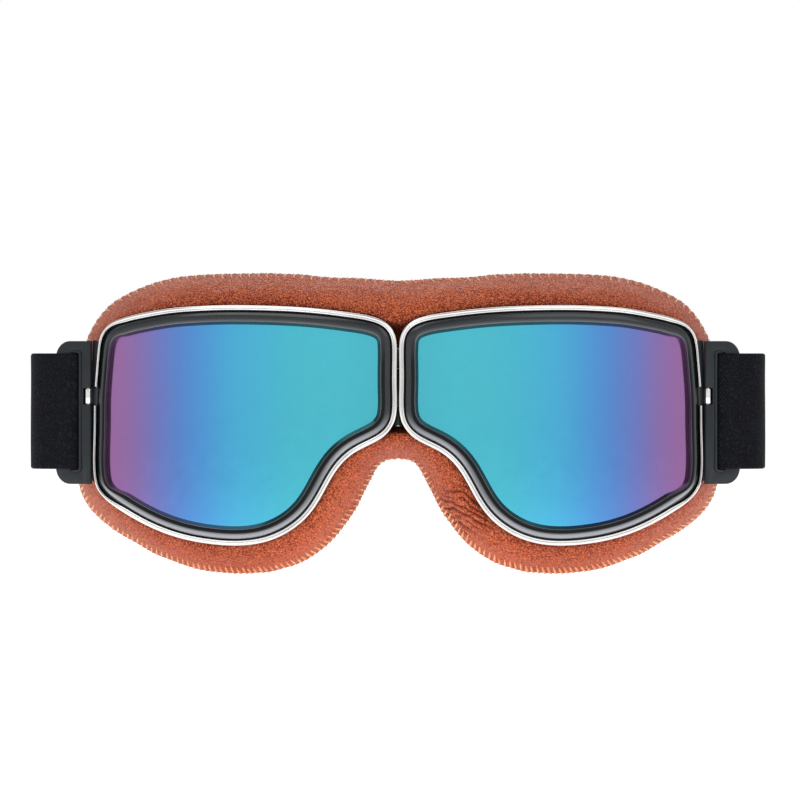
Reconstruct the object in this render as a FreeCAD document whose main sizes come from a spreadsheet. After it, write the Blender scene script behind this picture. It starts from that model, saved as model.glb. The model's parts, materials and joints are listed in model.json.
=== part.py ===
# Motorcycle goggles with two framed lenses, a folding bridge, a padded leather face seal and an elastic strap.
# Millimetres.  +Z up, -Y is the front (the way the wearer looks), +X is towards the viewer's right when facing the lenses.
# The origin is on the face side of the nose bridge, at eye level, where the pad touches the face.
import FreeCAD, Part
import Sketcher
import math
import os
from FreeCAD import Placement, Rotation, Vector

doc = FreeCAD.newDocument("goggles")

# ---------------------------------------------------------------- driving dimensions
ROWS = [
    ("front_radius", 180.0, "radius of the cylinder that the front of both lens frames follows"),
    ("face_depth", 27.0, "front of the frames at the bridge to the face plane"),
    ("eye_height", 47.0, "bottom of the leather to eye level"),
    ("seal_radius", 130.0, "radius of the face side of the pad, seen from above"),
    ("bezel_depth", 8.0, "depth of the front frame"),
    ("lip_depth", 2.6, "thickness of the lip in front of the lens"),
    ("rebate_depth", 1.75, "depth of the step that the chrome rim sits in"),
    ("wall_gap", 0.1, "outer face of the frame inside the rim line"),
    ("rim_half", 0.72, "half of the rim's width"),
    ("rim_proud", 0.25, "how far the rim stands in front of the frame"),
    ("rim_depth", 1.65, "how far the rim reaches back from the front surface"),
    ("rim_gap", 4.7, "opening in the rim at the temple"),
    ("rim_gap_height", 53.25, "height of the middle of that opening above the base"),
    ("window_inset", 5.2, "rim line to the visible edge of the lens"),
    ("lens_inset", 4.15, "rim line to the real edge of the lens"),
    ("pocket_inset", 4.1, "rim line to the lens pocket"),
    ("lens_front", 2.62, "front of the lens behind the front surface"),
    ("lens_back", 4.4, "back of the lens"),
    ("gasket_back", 5.4, "back of the lens gasket"),
    ("spigot_inset", 4.2, "rim line to the outside of the rear frame's spigot"),
    ("opening_inset", 6.2, "rim line to the opening in the rear frame"),
    ("flange_back", 10.5, "back of the rear frame's flange"),
    ("hinge_depth", 11.8, "bridge hinge axis behind the front surface"),
    ("knuckle_radius", 2.0, "bridge hinge knuckle"),
    ("hinge_pin_radius", 1.0, "bridge hinge pin"),
    ("hinge_bottom", 44.7, "lower end of the hinge barrel"),
    ("hinge_top", 67.2, "upper end of the hinge barrel"),
    ("leaf_thick", 0.8, "hinge leaf sheet"),
    ("leaf_width", 7.0, "hinge leaf, from the axis to its free edge"),
    ("rivet_radius", 0.8, "hinge rivets"),
    ("screw_radius", 0.7, "frame screws"),
    ("screw_head_radius", 1.25, "frame screw heads"),
    ("plate_slope", 30.0, "strap plate, angle back from the frontal plane"),
    ("temple_x", 93.5, "temple hinge axis, sideways"),
    ("temple_depth", 27.0, "temple hinge axis behind the front surface at the bridge"),
    ("plate_width", 11.0, "temple hinge axis to the free edge of the strap plate"),
    ("plate_bottom", 26.7, "lower edge of the strap plate"),
    ("plate_top", 69.9, "upper edge of the strap plate"),
    ("plate_thick", 2.0, "strap plate"),
    ("plate_corner", 5.0, "corner radius of the strap plate"),
    ("barrel_radius", 1.1, "barrel along the inner edge of the strap plate"),
    ("slot_inner", 2.4, "strap slot, edge nearer the hinge"),
    ("slot_outer", 5.6, "strap slot, edge nearer the strap"),
    ("slot_bottom", 30.4, "lower end of the strap slot"),
    ("slot_top", 66.9, "upper end of the strap slot"),
    ("temple_pin_radius", 0.5, "temple hinge pin"),
    ("eye_radius", 1.0, "outside of the clip's rolled eye"),
    ("eye_bore", 0.55, "inside of the clip's rolled eye"),
    ("eye_height_z", 4.4, "height of the clip"),
    ("strap_thick", 1.6, "elastic webbing"),
    ("strap_bottom", 31.2, "lower edge of the webbing"),
    ("strap_top", 66.2, "upper edge of the webbing"),
    ("slider_length", 15.0, "adjuster, along the webbing"),
    ("slider_rail", 2.6, "adjuster rails above and below the webbing"),
    ("leather_thick", 1.3, "leather cover"),
    ("lining_thick", 0.9, "soft lining on the face side"),
    ("fold_half", 45.0, "half of the bridge hinge's travel"),
]
sheet = doc.addObject("Spreadsheet::Sheet", "dims")
for i, (alias, value, note) in enumerate(ROWS, start=1):
    sheet.set("A%d" % i, note)
    sheet.set("B%d" % i, repr(value))
    sheet.setAlias("B%d" % i, alias)
doc.recompute()
D = {alias: float(sheet.get(alias)) for alias, _, _ in ROWS}
R = D["front_radius"]


def Y(depth):
    """Depth behind the front surface at the bridge, as a row coordinate."""
    return depth - D["face_depth"]


def Z(height):
    """Height above the bottom of the leather, as a row coordinate."""
    return height - D["eye_height"]


# ---------------------------------------------------------------- outlines
# The rim line of the lens frame on the +X side, seen from the front: x, and height above the bottom of the leather.
RIM_LINE = [
    (91.1, 44.7), (91.0, 52.4), (90.5, 59.9), (89.9, 66.8), (88.8, 71.6), (86.7, 74.2), (82.8, 76.1), (75.9, 77.7),
    (68.6, 78.9), (61.1, 79.5), (53.3, 79.8), (45.3, 79.8), (37.3, 79.6), (29.4, 79.2), (21.6, 78.5), (13.8, 77.5),
    (7.2, 76.2), (3.6, 74.4), (1.6, 71.6), (1.05, 68.2), (1.05, 62.3), (1.05, 55.6), (1.05, 49.6), (1.75, 45.9),
    (3.9, 42.6), (8.0, 39.9), (13.5, 37.0), (17.6, 33.4), (21.0, 28.4), (24.4, 22.3), (28.0, 17.5), (32.5, 13.8),
    (37.6, 11.2), (43.4, 9.7), (49.9, 9.3), (56.8, 9.8), (63.7, 11.0), (70.4, 13.0), (76.8, 15.8), (82.8, 19.2),
    (87.6, 22.7), (90.2, 26.0), (91.2, 30.6), (91.3, 37.0),
]
CENTRE = (49.5, 44.7)  # middle of the lens, for polar sections


def spline(points):
    curve = Part.BSplineCurve()
    curve.interpolate(Points=[Vector(x, z, 0) for x, z in points], PeriodicFlag=True)
    return curve


BASE = spline(RIM_LINE)
N = 1440
U0, U1 = BASE.FirstParameter, BASE.LastParameter
DENSE = [BASE.value(U0 + (U1 - U0) * i / N) for i in range(N)]
TANGENT = [BASE.tangent(U0 + (U1 - U0) * i / N)[0] for i in range(N)]


def spaced(points, count):
    """The closed run of points again, evenly spaced along its length."""
    length = [0.0]
    for a, b in zip(points, points[1:] + points[:1]):
        length.append(length[-1] + math.hypot(b[0] - a[0], b[1] - a[1]))
    out, k = [], 0
    for i in range(count):
        s = length[-1] * i / count
        while length[k + 1] < s:
            k += 1
        a, b = points[k], points[(k + 1) % len(points)]
        t = (s - length[k]) / max(length[k + 1] - length[k], 1e-9)
        out.append((a[0] + (b[0] - a[0]) * t, a[1] + (b[1] - a[1]) * t))
    return out


def offset(distance, count=64):
    """The rim line moved outwards by distance (inwards where negative), without the loops at tight corners."""
    if abs(distance) < 1e-6:
        moved = [(p.x, p.y) for p in DENSE]
    else:
        moved = []
        for p, t in zip(DENSE, TANGENT):
            n = Vector(t.y, -t.x, 0)
            q = p - n * distance  # the line runs anticlockwise from the temple over the top, so -n points outwards
            moved.append((q.x, q.y))
        inside_sign = 1 if Part.makePolygon([Vector(x, z, 0) for x, z in moved]).BoundBox.XLength > Part.makePolygon(DENSE).BoundBox.XLength else -1
        if (distance > 0) != (inside_sign > 0):
            moved = [(2 * p.x - q[0], 2 * p.y - q[1]) for p, q in zip(DENSE, moved)]
        kept = []
        for q in moved:
            d = min((q[0] - p.x) ** 2 + (q[1] - p.y) ** 2 for p in DENSE[::4])
            if math.sqrt(d) > abs(distance) - 0.03:
                kept.append(q)
        moved = kept
    return spaced(moved, count)


def outline_sketch(name, points):
    """A sketch in the frontal plane holding one closed spline."""
    sk = doc.addObject("Sketcher::SketchObject", name)
    sk.Placement = Placement(Vector(0, Y(-6.0), Z(0)), Rotation(Vector(1, 0, 0), 90))
    sk.addGeometry(spline(points), False)
    return sk


def prism(name, distance):
    """The area inside the rim line moved by distance, pulled straight back through the whole frame."""
    sk = outline_sketch(name + "_outline", offset(distance))
    ex = doc.addObject("Part::Extrusion", name)
    ex.Base = sk
    ex.DirMode = "Custom"
    ex.Dir = Vector(0, 1, 0)
    ex.LengthFwd = 66.0
    ex.Solid = True
    return ex


def drum(name, depth):
    """The cylinder that lies this far behind the front surface. depth is an expression on the sheet."""
    c = doc.addObject("Part::Cylinder", name)
    c.Radius = 100
    c.Height = 130
    c.setExpression("Radius", "dims.front_radius - (%s)" % depth)
    c.setExpression("Placement.Base.y", "dims.front_radius - dims.face_depth")
    c.setExpression("Placement.Base.z", "-20 - dims.eye_height")
    return c


def boolean(kind, name, base, tool):
    o = doc.addObject("Part::" + kind, name)
    o.Base, o.Tool = base, tool
    return o


def shell(name, near, far):
    return boolean("Cut", name, drum(name + "_near", near), drum(name + "_far", far))


def fuse(name, parts):
    o = doc.addObject("Part::MultiFuse", name)
    o.Shapes = parts
    o.Refine = True
    return o


SUBPARTS = {}


def subpart(node, obj):
    obj.Label = node
    SUBPARTS[node] = obj
    return obj


def mirrored(node, source):
    m = doc.addObject("Part::Mirroring", node)
    m.Source = source
    m.Base = Vector(0, 0, 0)
    m.Normal = Vector(1, 0, 0)
    return subpart(node, m)


def plane_of(body, role):
    return [f for f in body.Origin.OriginFeatures if f.Role == role][0]


def body_sketch(body, name, role, z=0.0):
    sk = body.newObject("Sketcher::SketchObject", name)
    sk.AttachmentSupport = [(plane_of(body, role), "")]
    sk.MapMode = "FlatFace"
    sk.AttachmentOffset = Placement(Vector(0, 0, z), Rotation())
    return sk


def polyline(sk, points):
    n = len(points)
    for i in range(n):
        a, b = points[i], points[(i + 1) % n]
        sk.addGeometry(Part.LineSegment(Vector(a[0], a[1], 0), Vector(b[0], b[1], 0)), False)
    for i in range(n):
        sk.addConstraint(Sketcher.Constraint("Coincident", i, 2, (i + 1) % n, 1))


def circle(sk, x, y, r, alias=None):
    g = sk.addGeometry(Part.Circle(Vector(x, y, 0), Vector(0, 0, 1), r), False)
    c = sk.addConstraint(Sketcher.Constraint("Radius", g, r))
    if alias:
        sk.setExpression("Constraints[%d]" % c, alias)
    return g


def rounded(sk, x0, y0, x1, y1, radii):
    """A rectangle whose corners (x1y0, x1y1, x0y1, x0y0) are rounded by radii, 0 for a sharp one."""
    corners = [(x1, y0), (x1, y1), (x0, y1), (x0, y0)]
    n, pieces = 4, []
    ends = []
    for k, ((cx, cy), r) in enumerate(zip(corners, radii)):
        px, py = corners[k - 1]
        nx, ny = corners[(k + 1) % n]
        din = (math.copysign(1, cx - px) if cx != px else 0, math.copysign(1, cy - py) if cy != py else 0)
        dout = (math.copysign(1, nx - cx) if nx != cx else 0, math.copysign(1, ny - cy) if ny != cy else 0)
        a = (cx - din[0] * r, cy - din[1] * r)
        b = (cx + dout[0] * r, cy + dout[1] * r)
        m = (a[0] + dout[0] * r - (dout[0] - din[0]) * r * math.sqrt(0.5), a[1] + dout[1] * r - (dout[1] - din[1]) * r * math.sqrt(0.5))
        ends.append((a, m, b, r))
    for k in range(n):
        a, m, b, r = ends[k]
        nxt = ends[(k + 1) % n][0]
        if r > 0:
            sk.addGeometry(Part.Arc(Vector(a[0], a[1], 0), Vector(m[0], m[1], 0), Vector(b[0], b[1], 0)), False)
        sk.addGeometry(Part.LineSegment(Vector(b[0], b[1], 0), Vector(nxt[0], nxt[1], 0)), False)


def pad(body, sk, name, length, midplane=False, reverse=False, alias=None):
    p = body.newObject("PartDesign::Pad", name)
    p.Profile = sk
    p.Length = length
    if alias:
        p.setExpression("Length", alias)
    if midplane:
        p.SideType = "Symmetric" if "SideType" in p.PropertiesList else p.SideType
    p.Reversed = reverse
    sk.Visibility = False
    body.Tip = p
    return p


def pocket(body, sk, name, length, midplane=False, reverse=False):
    p = body.newObject("PartDesign::Pocket", name)
    p.Profile = sk
    p.Length = length
    if midplane:
        p.SideType = "Symmetric"
    p.Reversed = reverse
    body.Tip = p
    return p


# ---------------------------------------------------------------- lens frame of the +X side
def insets():
    made = {}
    for name, d in (
        ("rim_outside", D["rim_half"]),
        ("rim_inside", -D["rim_half"]),
        ("frame_face", -D["rim_half"] - 0.06),
        ("frame_wall", -D["wall_gap"]),
        ("window", -D["window_inset"]),
        ("lens_pocket", -D["pocket_inset"]),
        ("lens_edge", -D["lens_inset"]),
        ("spigot", -D["spigot_inset"]),
        ("opening", -D["opening_inset"]),
        ("gasket_hole", -6.0),
    ):
        made[name] = prism("prism_" + name, d)
    return made


P = insets()
doc.recompute()

whole = boolean("Common", "frame_blank", P["frame_wall"], shell("bezel_shell", "0", "dims.bezel_depth"))
windowed = boolean("Cut", "frame_windowed", whole, P["window"])
pocketed = boolean(
    "Cut", "frame_pocketed", windowed,
    boolean("Common", "lens_seat", P["lens_pocket"], shell("seat_shell", "dims.lip_depth", "dims.bezel_depth + 1")),
)
slab = doc.addObject("Part::Box", "rebate_slab")
slab.Length, slab.Width, slab.Height = 110, 66, 110
slab.Placement.Base = Vector(-8, Y(-6.0), Z(-8))
rebate = boolean(
    "Common", "rebate",
    boolean("Cut", "rebate_outside", slab, P["frame_face"]),
    shell("rebate_shell", "-2", "dims.rebate_depth"),
)
stepped = boolean("Cut", "frame_stepped", pocketed, rebate)

# room for the hinge barrel between the two frames
barrel_room = doc.addObject("Part::Cylinder", "barrel_room")
barrel_room.setExpression("Radius", "dims.knuckle_radius + 0.35")
barrel_room.setExpression("Height", "dims.hinge_top - dims.hinge_bottom + 3.2")
barrel_room.setExpression("Placement.Base.y", "dims.hinge_depth - dims.face_depth")
barrel_room.setExpression("Placement.Base.z", "dims.hinge_bottom - 1.6 - dims.eye_height")

flange = boolean("Cut", "flange_ring", P["frame_wall"], P["opening"])
flange_cut = boolean("Common", "flange", flange, shell("flange_shell", "dims.bezel_depth", "dims.flange_back"))
spigot = boolean("Cut", "spigot_ring", P["spigot"], P["opening"])
spigot_cut = boolean("Common", "spigot_part", spigot, shell("spigot_shell", "dims.gasket_back + 0.02", "dims.bezel_depth + 0.2"))
rear = fuse("rear_frame_blank", [flange_cut, spigot_cut])
rear_clear = boolean("Cut", "rear_frame_clear", rear, barrel_room)


def at_front(x, height, depth):
    """A point that lies depth behind the front surface, and the direction out of the front there."""
    a = math.asin(x / R)
    out = Vector(math.sin(a), -math.cos(a), 0)
    base = Vector(0, R - D["face_depth"], Z(height))
    return base + out * (R - depth), out


# four screws join the rear frame to the front frame, from behind
def nearest(angle, inset):
    """A point on the rim line moved in by inset, in the direction of a polar angle from the lens centre."""
    best = min(offset(-inset, 180), key=lambda q: abs((math.degrees(math.atan2(q[1] - CENTRE[1], q[0] - CENTRE[0])) - angle + 180) % 360 - 180))
    return best


screws = []
for angle in (62.0, 125.0, 238.0, 303.0):
    x, h = nearest(angle, 2.15)
    head, out = at_front(x, h, D["flange_back"])
    spin = Rotation(Vector(0, 0, 1), out)
    b = doc.addObject("PartDesign::Body", "screw_%d" % int(angle))
    sk = body_sketch(b, "screw_side_%d" % int(angle), "XZ_Plane")
    hr, sr, hl, sl = D["screw_head_radius"], D["screw_radius"], 0.8, 6.0
    polyline(sk, [(0, 0), (hr, 0), (hr, 0.35), (sr, hl), (sr, sl - 0.8), (0.25, sl), (0, sl)])
    rev = b.newObject("PartDesign::Revolution", "screw_turned_%d" % int(angle))
    rev.Profile = sk
    rev.ReferenceAxis = (sk, ["V_Axis"])
    rev.Angle = 360
    b.Tip = rev
    b.Placement = Placement(head, spin)
    screws.append(b)
screw_group = doc.addObject("Part::Compound", "frame_screws_right")
screw_group.Links = screws
doc.recompute()
subpart("frame_screws_right", screw_group)

# ---------------------------------------------------------------- bridge hinge
hy = Y(D["hinge_depth"])
LEAF_Z0, LEAF_Z1 = D["hinge_bottom"] + 0.3, D["hinge_top"] - 0.3
K1, K2 = 50.4, 61.5  # the middle knuckle, on the +X leaf


def leaf(node, sign, spans):
    """A sheet leaf whose back face holds the hinge axis, with rolled knuckles over the given heights."""
    b = doc.addObject("PartDesign::Body", node)
    sk = body_sketch(b, node + "_sheet", "XY_Plane")
    t, w = D["leaf_thick"], D["leaf_width"]
    x0 = D["knuckle_radius"] + 0.35
    polyline(sk, [(sign * x0, 0), (sign * w, 0), (sign * w, -t), (sign * x0, -t)])
    p = pad(b, sk, node + "_plate", LEAF_Z1 - LEAF_Z0)
    for i, (z0, z1) in enumerate(spans):
        s2 = body_sketch(b, "%s_arm_%d" % (node, i), "XY_Plane", z0 - LEAF_Z0)
        polyline(s2, [(sign * 1.2, 0), (sign * (x0 + 1), 0), (sign * (x0 + 1), -t), (sign * 1.2, -t)])
        pad(b, s2, "%s_armpad_%d" % (node, i), z1 - z0)
        s3 = body_sketch(b, "%s_roll_%d" % (node, i), "XY_Plane", z0 - LEAF_Z0)
        circle(s3, 0, 0, D["knuckle_radius"], "dims.knuckle_radius")
        pad(b, s3, "%s_rollpad_%d" % (node, i), z1 - z0)
    s4 = body_sketch(b, node + "_bore", "XY_Plane", -5)
    circle(s4, 0, 0, D["hinge_pin_radius"] + 0.05, "dims.hinge_pin_radius + 0.05")
    pocket(b, s4, node + "_bored", 40, reverse=True)
    s5 = body_sketch(b, node + "_rivet_holes", "XZ_Plane")
    for h in (48.2, 56.0, 63.8):
        circle(s5, sign * 4.6, h - LEAF_Z0, D["rivet_radius"], "dims.rivet_radius")
    pocket(b, s5, node + "_riveted", 8, midplane=True)
    b.Placement = Placement(Vector(0, hy, Z(LEAF_Z0)), Rotation())
    return subpart(node, b)


leaf("hinge_leaf_right", 1, [(K1, K2)])
leaf("hinge_leaf_left", -1, [(D["hinge_bottom"], K1 - 0.2), (K2 + 0.2, D["hinge_top"])])

pin = doc.addObject("PartDesign::Body", "hinge_pin")
sk = body_sketch(pin, "hinge_pin_side", "XZ_Plane")
pr, hh = D["hinge_pin_radius"], D["hinge_top"] - D["hinge_bottom"]
polyline(sk, [(0, -0.75), (1.3, -0.75), (1.6, -0.45), (1.6, -0.1), (pr, -0.1), (pr, hh + 0.1), (1.6, hh + 0.1), (1.6, hh + 0.45), (1.3, hh + 0.75), (0, hh + 0.75)])
rev = pin.newObject("PartDesign::Revolution", "hinge_pin_turned")
rev.Profile = sk
rev.ReferenceAxis = (sk, ["V_Axis"])
rev.Angle = 360
pin.Tip = rev
pin.Placement = Placement(Vector(0, hy, Z(D["hinge_bottom"])), Rotation())
subpart("hinge_pin", pin)


def rivets(node, sign):
    made = []
    for k, h in enumerate((48.2, 56.0, 63.8)):
        b = doc.addObject("PartDesign::Body", "%s_%d" % (node, k))
        s = body_sketch(b, "%s_side_%d" % (node, k), "XZ_Plane")
        r = D["rivet_radius"]
        polyline(s, [(0, 0.5), (0.8, 0.42), (1.25, 0.0), (r, 0.0), (r, -5.2), (0, -5.2)])
        v = b.newObject("PartDesign::Revolution", "%s_turned_%d" % (node, k))
        v.Profile = s
        v.ReferenceAxis = (s, ["V_Axis"])
        v.Angle = 360
        b.Tip = v
        b.Placement = Placement(Vector(sign * 4.6, hy, Z(h)), Rotation(Vector(0, 0, 1), Vector(0, 1, 0)))
        made.append(b)
    g = doc.addObject("Part::Compound", node)
    g.Links = made
    return subpart(node, g)


rivets("hinge_rivets_right", 1)
rivets("hinge_rivets_left", -1)
doc.recompute()

# ---------------------------------------------------------------- temple hinge and strap plate
slope = math.radians(D["plate_slope"])
TX, TY = D["temple_x"], Y(D["temple_depth"])

plate = doc.addObject("PartDesign::Body", "strap_plate_right")
h0, h1 = D["plate_bottom"], D["plate_top"]
sk = body_sketch(plate, "plate_face", "XZ_Plane")
rounded(sk, 0.0, 0.0, D["plate_width"], h1 - h0, (D["plate_corner"], D["plate_corner"], 0.0, 0.0))
pad(plate, sk, "plate_sheet", D["plate_thick"], midplane=True, alias="dims.plate_thick")
sk = body_sketch(plate, "plate_barrel", "XY_Plane")
circle(sk, 0, 0, D["barrel_radius"], "dims.barrel_radius")
pad(plate, sk, "plate_barrel_pad", h1 - h0, alias="dims.plate_top - dims.plate_bottom")
sk = body_sketch(plate, "plate_slot", "XZ_Plane")
rounded(sk, D["slot_inner"], D["slot_bottom"] - h0, D["slot_outer"], D["slot_top"] - h0, (0.9, 0.9, 0.9, 0.9))
pocket(plate, sk, "plate_slotted", 8, midplane=True)
sk = body_sketch(plate, "plate_pin_hole", "XY_Plane", -1)
circle(sk, 0, 0, D["temple_pin_radius"] + 0.02, "dims.temple_pin_radius + 0.02")
pocket(plate, sk, "plate_bored", 60, reverse=True)
sk = body_sketch(plate, "plate_notch", "XZ_Plane")
n0 = D["rim_gap_height"] - D["eye_height_z"] / 2 - 0.25 - h0
polyline(sk, [(-2, n0), (1.35, n0), (1.35, n0 + D["eye_height_z"] + 0.5), (-2, n0 + D["eye_height_z"] + 0.5)])
pocket(plate, sk, "plate_notched", 8, midplane=True)
plate.Placement = Placement(Vector(TX, TY, Z(h0)), Rotation(Vector(0, 0, 1), D["plate_slope"]))
subpart("strap_plate_right", plate)

tpin = doc.addObject("PartDesign::Body", "temple_pin_right")
sk = body_sketch(tpin, "temple_pin_round", "XY_Plane")
circle(sk, 0, 0, D["temple_pin_radius"], "dims.temple_pin_radius")
pad(tpin, sk, "temple_pin_rod", 32.0)
tpin.Placement = Placement(Vector(TX, TY, Z(D["plate_top"] - 32.4)), Rotation())
subpart("temple_pin_right", tpin)

clip = doc.addObject("PartDesign::Body", "temple_clip_right")
ez = D["eye_height_z"]
sk = body_sketch(clip, "clip_eye", "XY_Plane")
circle(sk, 0, 0, D["eye_radius"], "dims.eye_radius")
pad(clip, sk, "clip_eye_pad", ez, alias="dims.eye_height_z")
sk = body_sketch(clip, "clip_tail", "XY_Plane")
polyline(sk, [(0.0, 0.55), (0.0, 1.0), (-3.6, 1.0), (-3.6, 1.55), (-4.05, 1.55), (-4.05, 0.55)])
pad(clip, sk, "clip_tail_pad", ez, alias="dims.eye_height_z")
sk = body_sketch(clip, "clip_bore", "XY_Plane", -1)
circle(sk, 0, 0, D["eye_bore"], "dims.eye_bore")
pocket(clip, sk, "clip_bored", 12, reverse=True)
clip.Placement = Placement(Vector(TX, TY, Z(D["rim_gap_height"] - ez / 2)), Rotation())
subpart("temple_clip_right", clip)

# the slot that the clip's tail is held in
tail_room = doc.addObject("Part::Box", "tail_room")
tail_room.Length, tail_room.Width, tail_room.Height = 4.0, 1.15, ez + 0.1
tail_room.Placement.Base = Vector(TX - 4.15, TY + 0.5, Z(D["rim_gap_height"] - ez / 2 - 0.05))
doc.recompute()

# rivets and screws sit in holes of their own shape
fasteners = doc.addObject("Part::Compound", "fastener_room")
fasteners.Links = [screw_group, SUBPARTS["hinge_rivets_right"]]
bezel_holes = boolean("Cut", "frame_drilled", stepped, fasteners)
bezel_clipped = boolean("Cut", "frame_clipped", bezel_holes, tail_room)
bezel = boolean("Cut", "front_frame_right", bezel_clipped, barrel_room)
subpart("front_frame_right", bezel)
rear_drilled = boolean("Cut", "rear_frame_right", rear_clear, fasteners)
subpart("rear_frame_right", rear_drilled)

rim_blank = boolean(
    "Common", "rim_blank",
    boolean("Cut", "rim_ring", P["rim_outside"], P["rim_inside"]),
    shell("rim_shell", "-dims.rim_proud", "dims.rim_depth"),
)
gap = doc.addObject("Part::Box", "rim_opening")
gap.Length, gap.Width = 12, 60
gap.setExpression("Height", "dims.rim_gap")
gap.setExpression("Placement.Base.z", "dims.rim_gap_height - dims.rim_gap / 2 - dims.eye_height")
gap.Placement.Base.x, gap.Placement.Base.y = 84, Y(-10)
rim = boolean("Cut", "rim_right", rim_blank, gap)
subpart("rim_right", rim)

lens = boolean("Common", "lens_right", P["lens_edge"], shell("lens_shell", "dims.lens_front", "dims.lens_back"))
subpart("lens_right", lens)
gasket = boolean(
    "Common", "lens_gasket_right",
    boolean("Cut", "gasket_ring", P["spigot"], P["gasket_hole"]),
    shell("gasket_shell", "dims.lens_back + 0.02", "dims.gasket_back"),
)
subpart("lens_gasket_right", gasket)
doc.recompute()

# ---------------------------------------------------------------- elastic strap and adjusters
# The strap's middle line, seen from above, on the +X side: from the sewn loop on the adjuster's bar, forward along the inside,
# round the bar of the strap plate, back along the outside and round the back of the head.
T = Vector(TX, TY, 0)
u = Vector(math.cos(slope), math.sin(slope), 0)
v = Vector(-math.sin(slope), math.cos(slope), 0)
half = D["strap_thick"] / 2
lay = D["plate_thick"] / 2 + half + 0.05
turn_at = T + u * (D["slot_outer"] + 0.0)


def heading(deg):
    return Vector(math.cos(math.radians(deg)), math.sin(math.radians(deg)), 0)


class Path:
    """Straight runs and tangent arcs, from a point and a heading in degrees."""

    def __init__(self, start, deg):
        self.at, self.deg, self.items, self.length = Vector(start), deg, [], 0.0

    def run(self, length):
        end = self.at + heading(self.deg) * length
        self.items.append(("line", Vector(self.at), Vector(end)))
        self.at, self.length = end, self.length + length
        return self

    def arc(self, radius, turn):
        """Turns left where turn is positive."""
        s = 1 if turn > 0 else -1
        c = self.at + heading(self.deg + 90 * s) * radius
        mid = c - heading(self.deg + 90 * s + turn / 2) * radius
        end = c - heading(self.deg + 90 * s + turn) * radius
        self.items.append(("arc", Vector(self.at), mid, end, c, radius, s))
        self.at, self.deg = end, self.deg + turn
        self.length += radius * math.radians(abs(turn))
        return self


TURN_HEADING, LEG_HEADING, LEG = 94.0, 125.0, 60.0
start_outer = turn_at - v * lay  # front of the plate's bar
outer = Path(start_outer, D["plate_slope"]).run(8.6).arc(8.0, TURN_HEADING - D["plate_slope"])
side_start = Vector(outer.at)
outer.run(6.0).arc(80.0, LEG_HEADING - TURN_HEADING)
leg_start = Vector(outer.at)
outer.run(LEG)
leg_end = Vector(outer.at)
last = 180.0 - outer.deg
R2 = outer.at.x / math.sin(math.radians(last))
outer.arc(R2, last)
assert abs(outer.at.x) < 1e-6, outer.at
back_y = outer.at.y
# the returned end, inside the outer layer
inner_side = side_start - heading(TURN_HEADING - 90) * 2.2
SLIDER_S = 25.0  # middle of the adjuster along the straight leg
centre_on_leg = leg_start + heading(LEG_HEADING) * SLIDER_S
bar_at = centre_on_leg - heading(LEG_HEADING - 90) * 3.1
inner = Path(turn_at + v * lay, D["plate_slope"]).run(7.2)
# an arc that lands on a line 2.2 mm inside the outer layer, then the same bends as the outer layer
turn = TURN_HEADING - D["plate_slope"]
side = heading(TURN_HEADING - 90)
want = (inner_side - inner.at).dot(side)
radius = want / (1 - math.cos(math.radians(turn))) if want > 0 else 4.0
inner.arc(radius, turn)
inner.run((inner_side - inner.at).dot(heading(TURN_HEADING)) + 6.0)
inner.arc(80.0 - 2.2, LEG_HEADING - TURN_HEADING)
rest = (bar_at - inner.at).dot(heading(LEG_HEADING)) - 1.2
inner.run(rest)


def band(paths_to_left, width):
    """Closed outline of a band that follows the whole chain of items."""
    left, right = [], []
    for it in paths_to_left:
        if it[0] == "line":
            d = (it[2] - it[1]).normalize()
            n = Vector(-d.y, d.x, 0) * width
            left.append(Part.LineSegment(it[1] + n, it[2] + n))
            right.append(Part.LineSegment(it[1] - n, it[2] - n))
        else:
            _, a, m, b, c, r, s = it
            for side_list, k in ((left, -s), (right, s)):
                f = (r + k * width) / r
                side_list.append(Part.Arc(c + (a - c) * f, c + (m - c) * f, c + (b - c) * f))
    return left, right


def reverse(items):
    out = []
    for it in reversed(items):
        if it[0] == "line":
            out.append(("line", it[2], it[1]))
        else:
            _, a, m, b, c, r, s = it
            out.append(("arc", b, m, a, c, r, -s))
    return out


def flip(items):
    def f(p):
        return Vector(-p.x, p.y, 0)

    out = []
    for it in items:
        if it[0] == "line":
            out.append(("line", f(it[1]), f(it[2])))
        else:
            _, a, m, b, c, r, s = it
            out.append(("arc", f(a), f(m), f(b), f(c), r, -s))
    return out


uturn_mid = turn_at - u * lay
uturn = [("arc", turn_at + v * lay, uturn_mid, turn_at - v * lay, Vector(turn_at), lay, 1)]


def webbing(node, chain):
    """A band of webbing along a chain of runs and arcs."""
    left, right = band(chain, half)
    body = doc.addObject("PartDesign::Body", node)
    sk = body_sketch(body, node + "_line", "XY_Plane")
    caps = [Part.LineSegment(left[-1].EndPoint, right[-1].EndPoint), Part.LineSegment(left[0].StartPoint, right[0].StartPoint)]
    sk.addGeometry(left + [caps[0]] + right + [caps[1]], False)
    pad(body, sk, node + "_width", D["strap_top"] - D["strap_bottom"], alias="dims.strap_top - dims.strap_bottom")
    body.Placement = Placement(Vector(0, 0, Z(D["strap_bottom"])), Rotation())
    return subpart(node, body)


# The band is held as two looped ends and the stretch round the back of the head, which meet inside the adjusters.
seam = leg_start + heading(LEG_HEADING) * SLIDER_S
gap_half = heading(LEG_HEADING) * 0.2
end_chain = reverse(inner.items) + uturn + outer.items[:4] + [("line", Vector(leg_start), seam - gap_half)]
webbing("strap_end_right", end_chain)
webbing("strap_end_left", reverse(flip(end_chain)))
half_back = [("line", seam + gap_half, Vector(leg_end))] + outer.items[5:]
webbing("strap_back", half_back + reverse(flip(half_back)))

slider = doc.addObject("PartDesign::Body", "adjuster_right")
L = D["slider_length"] / 2
rail = D["slider_rail"]
low, high = D["strap_bottom"] - 0.7, D["strap_top"] + 0.7
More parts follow.
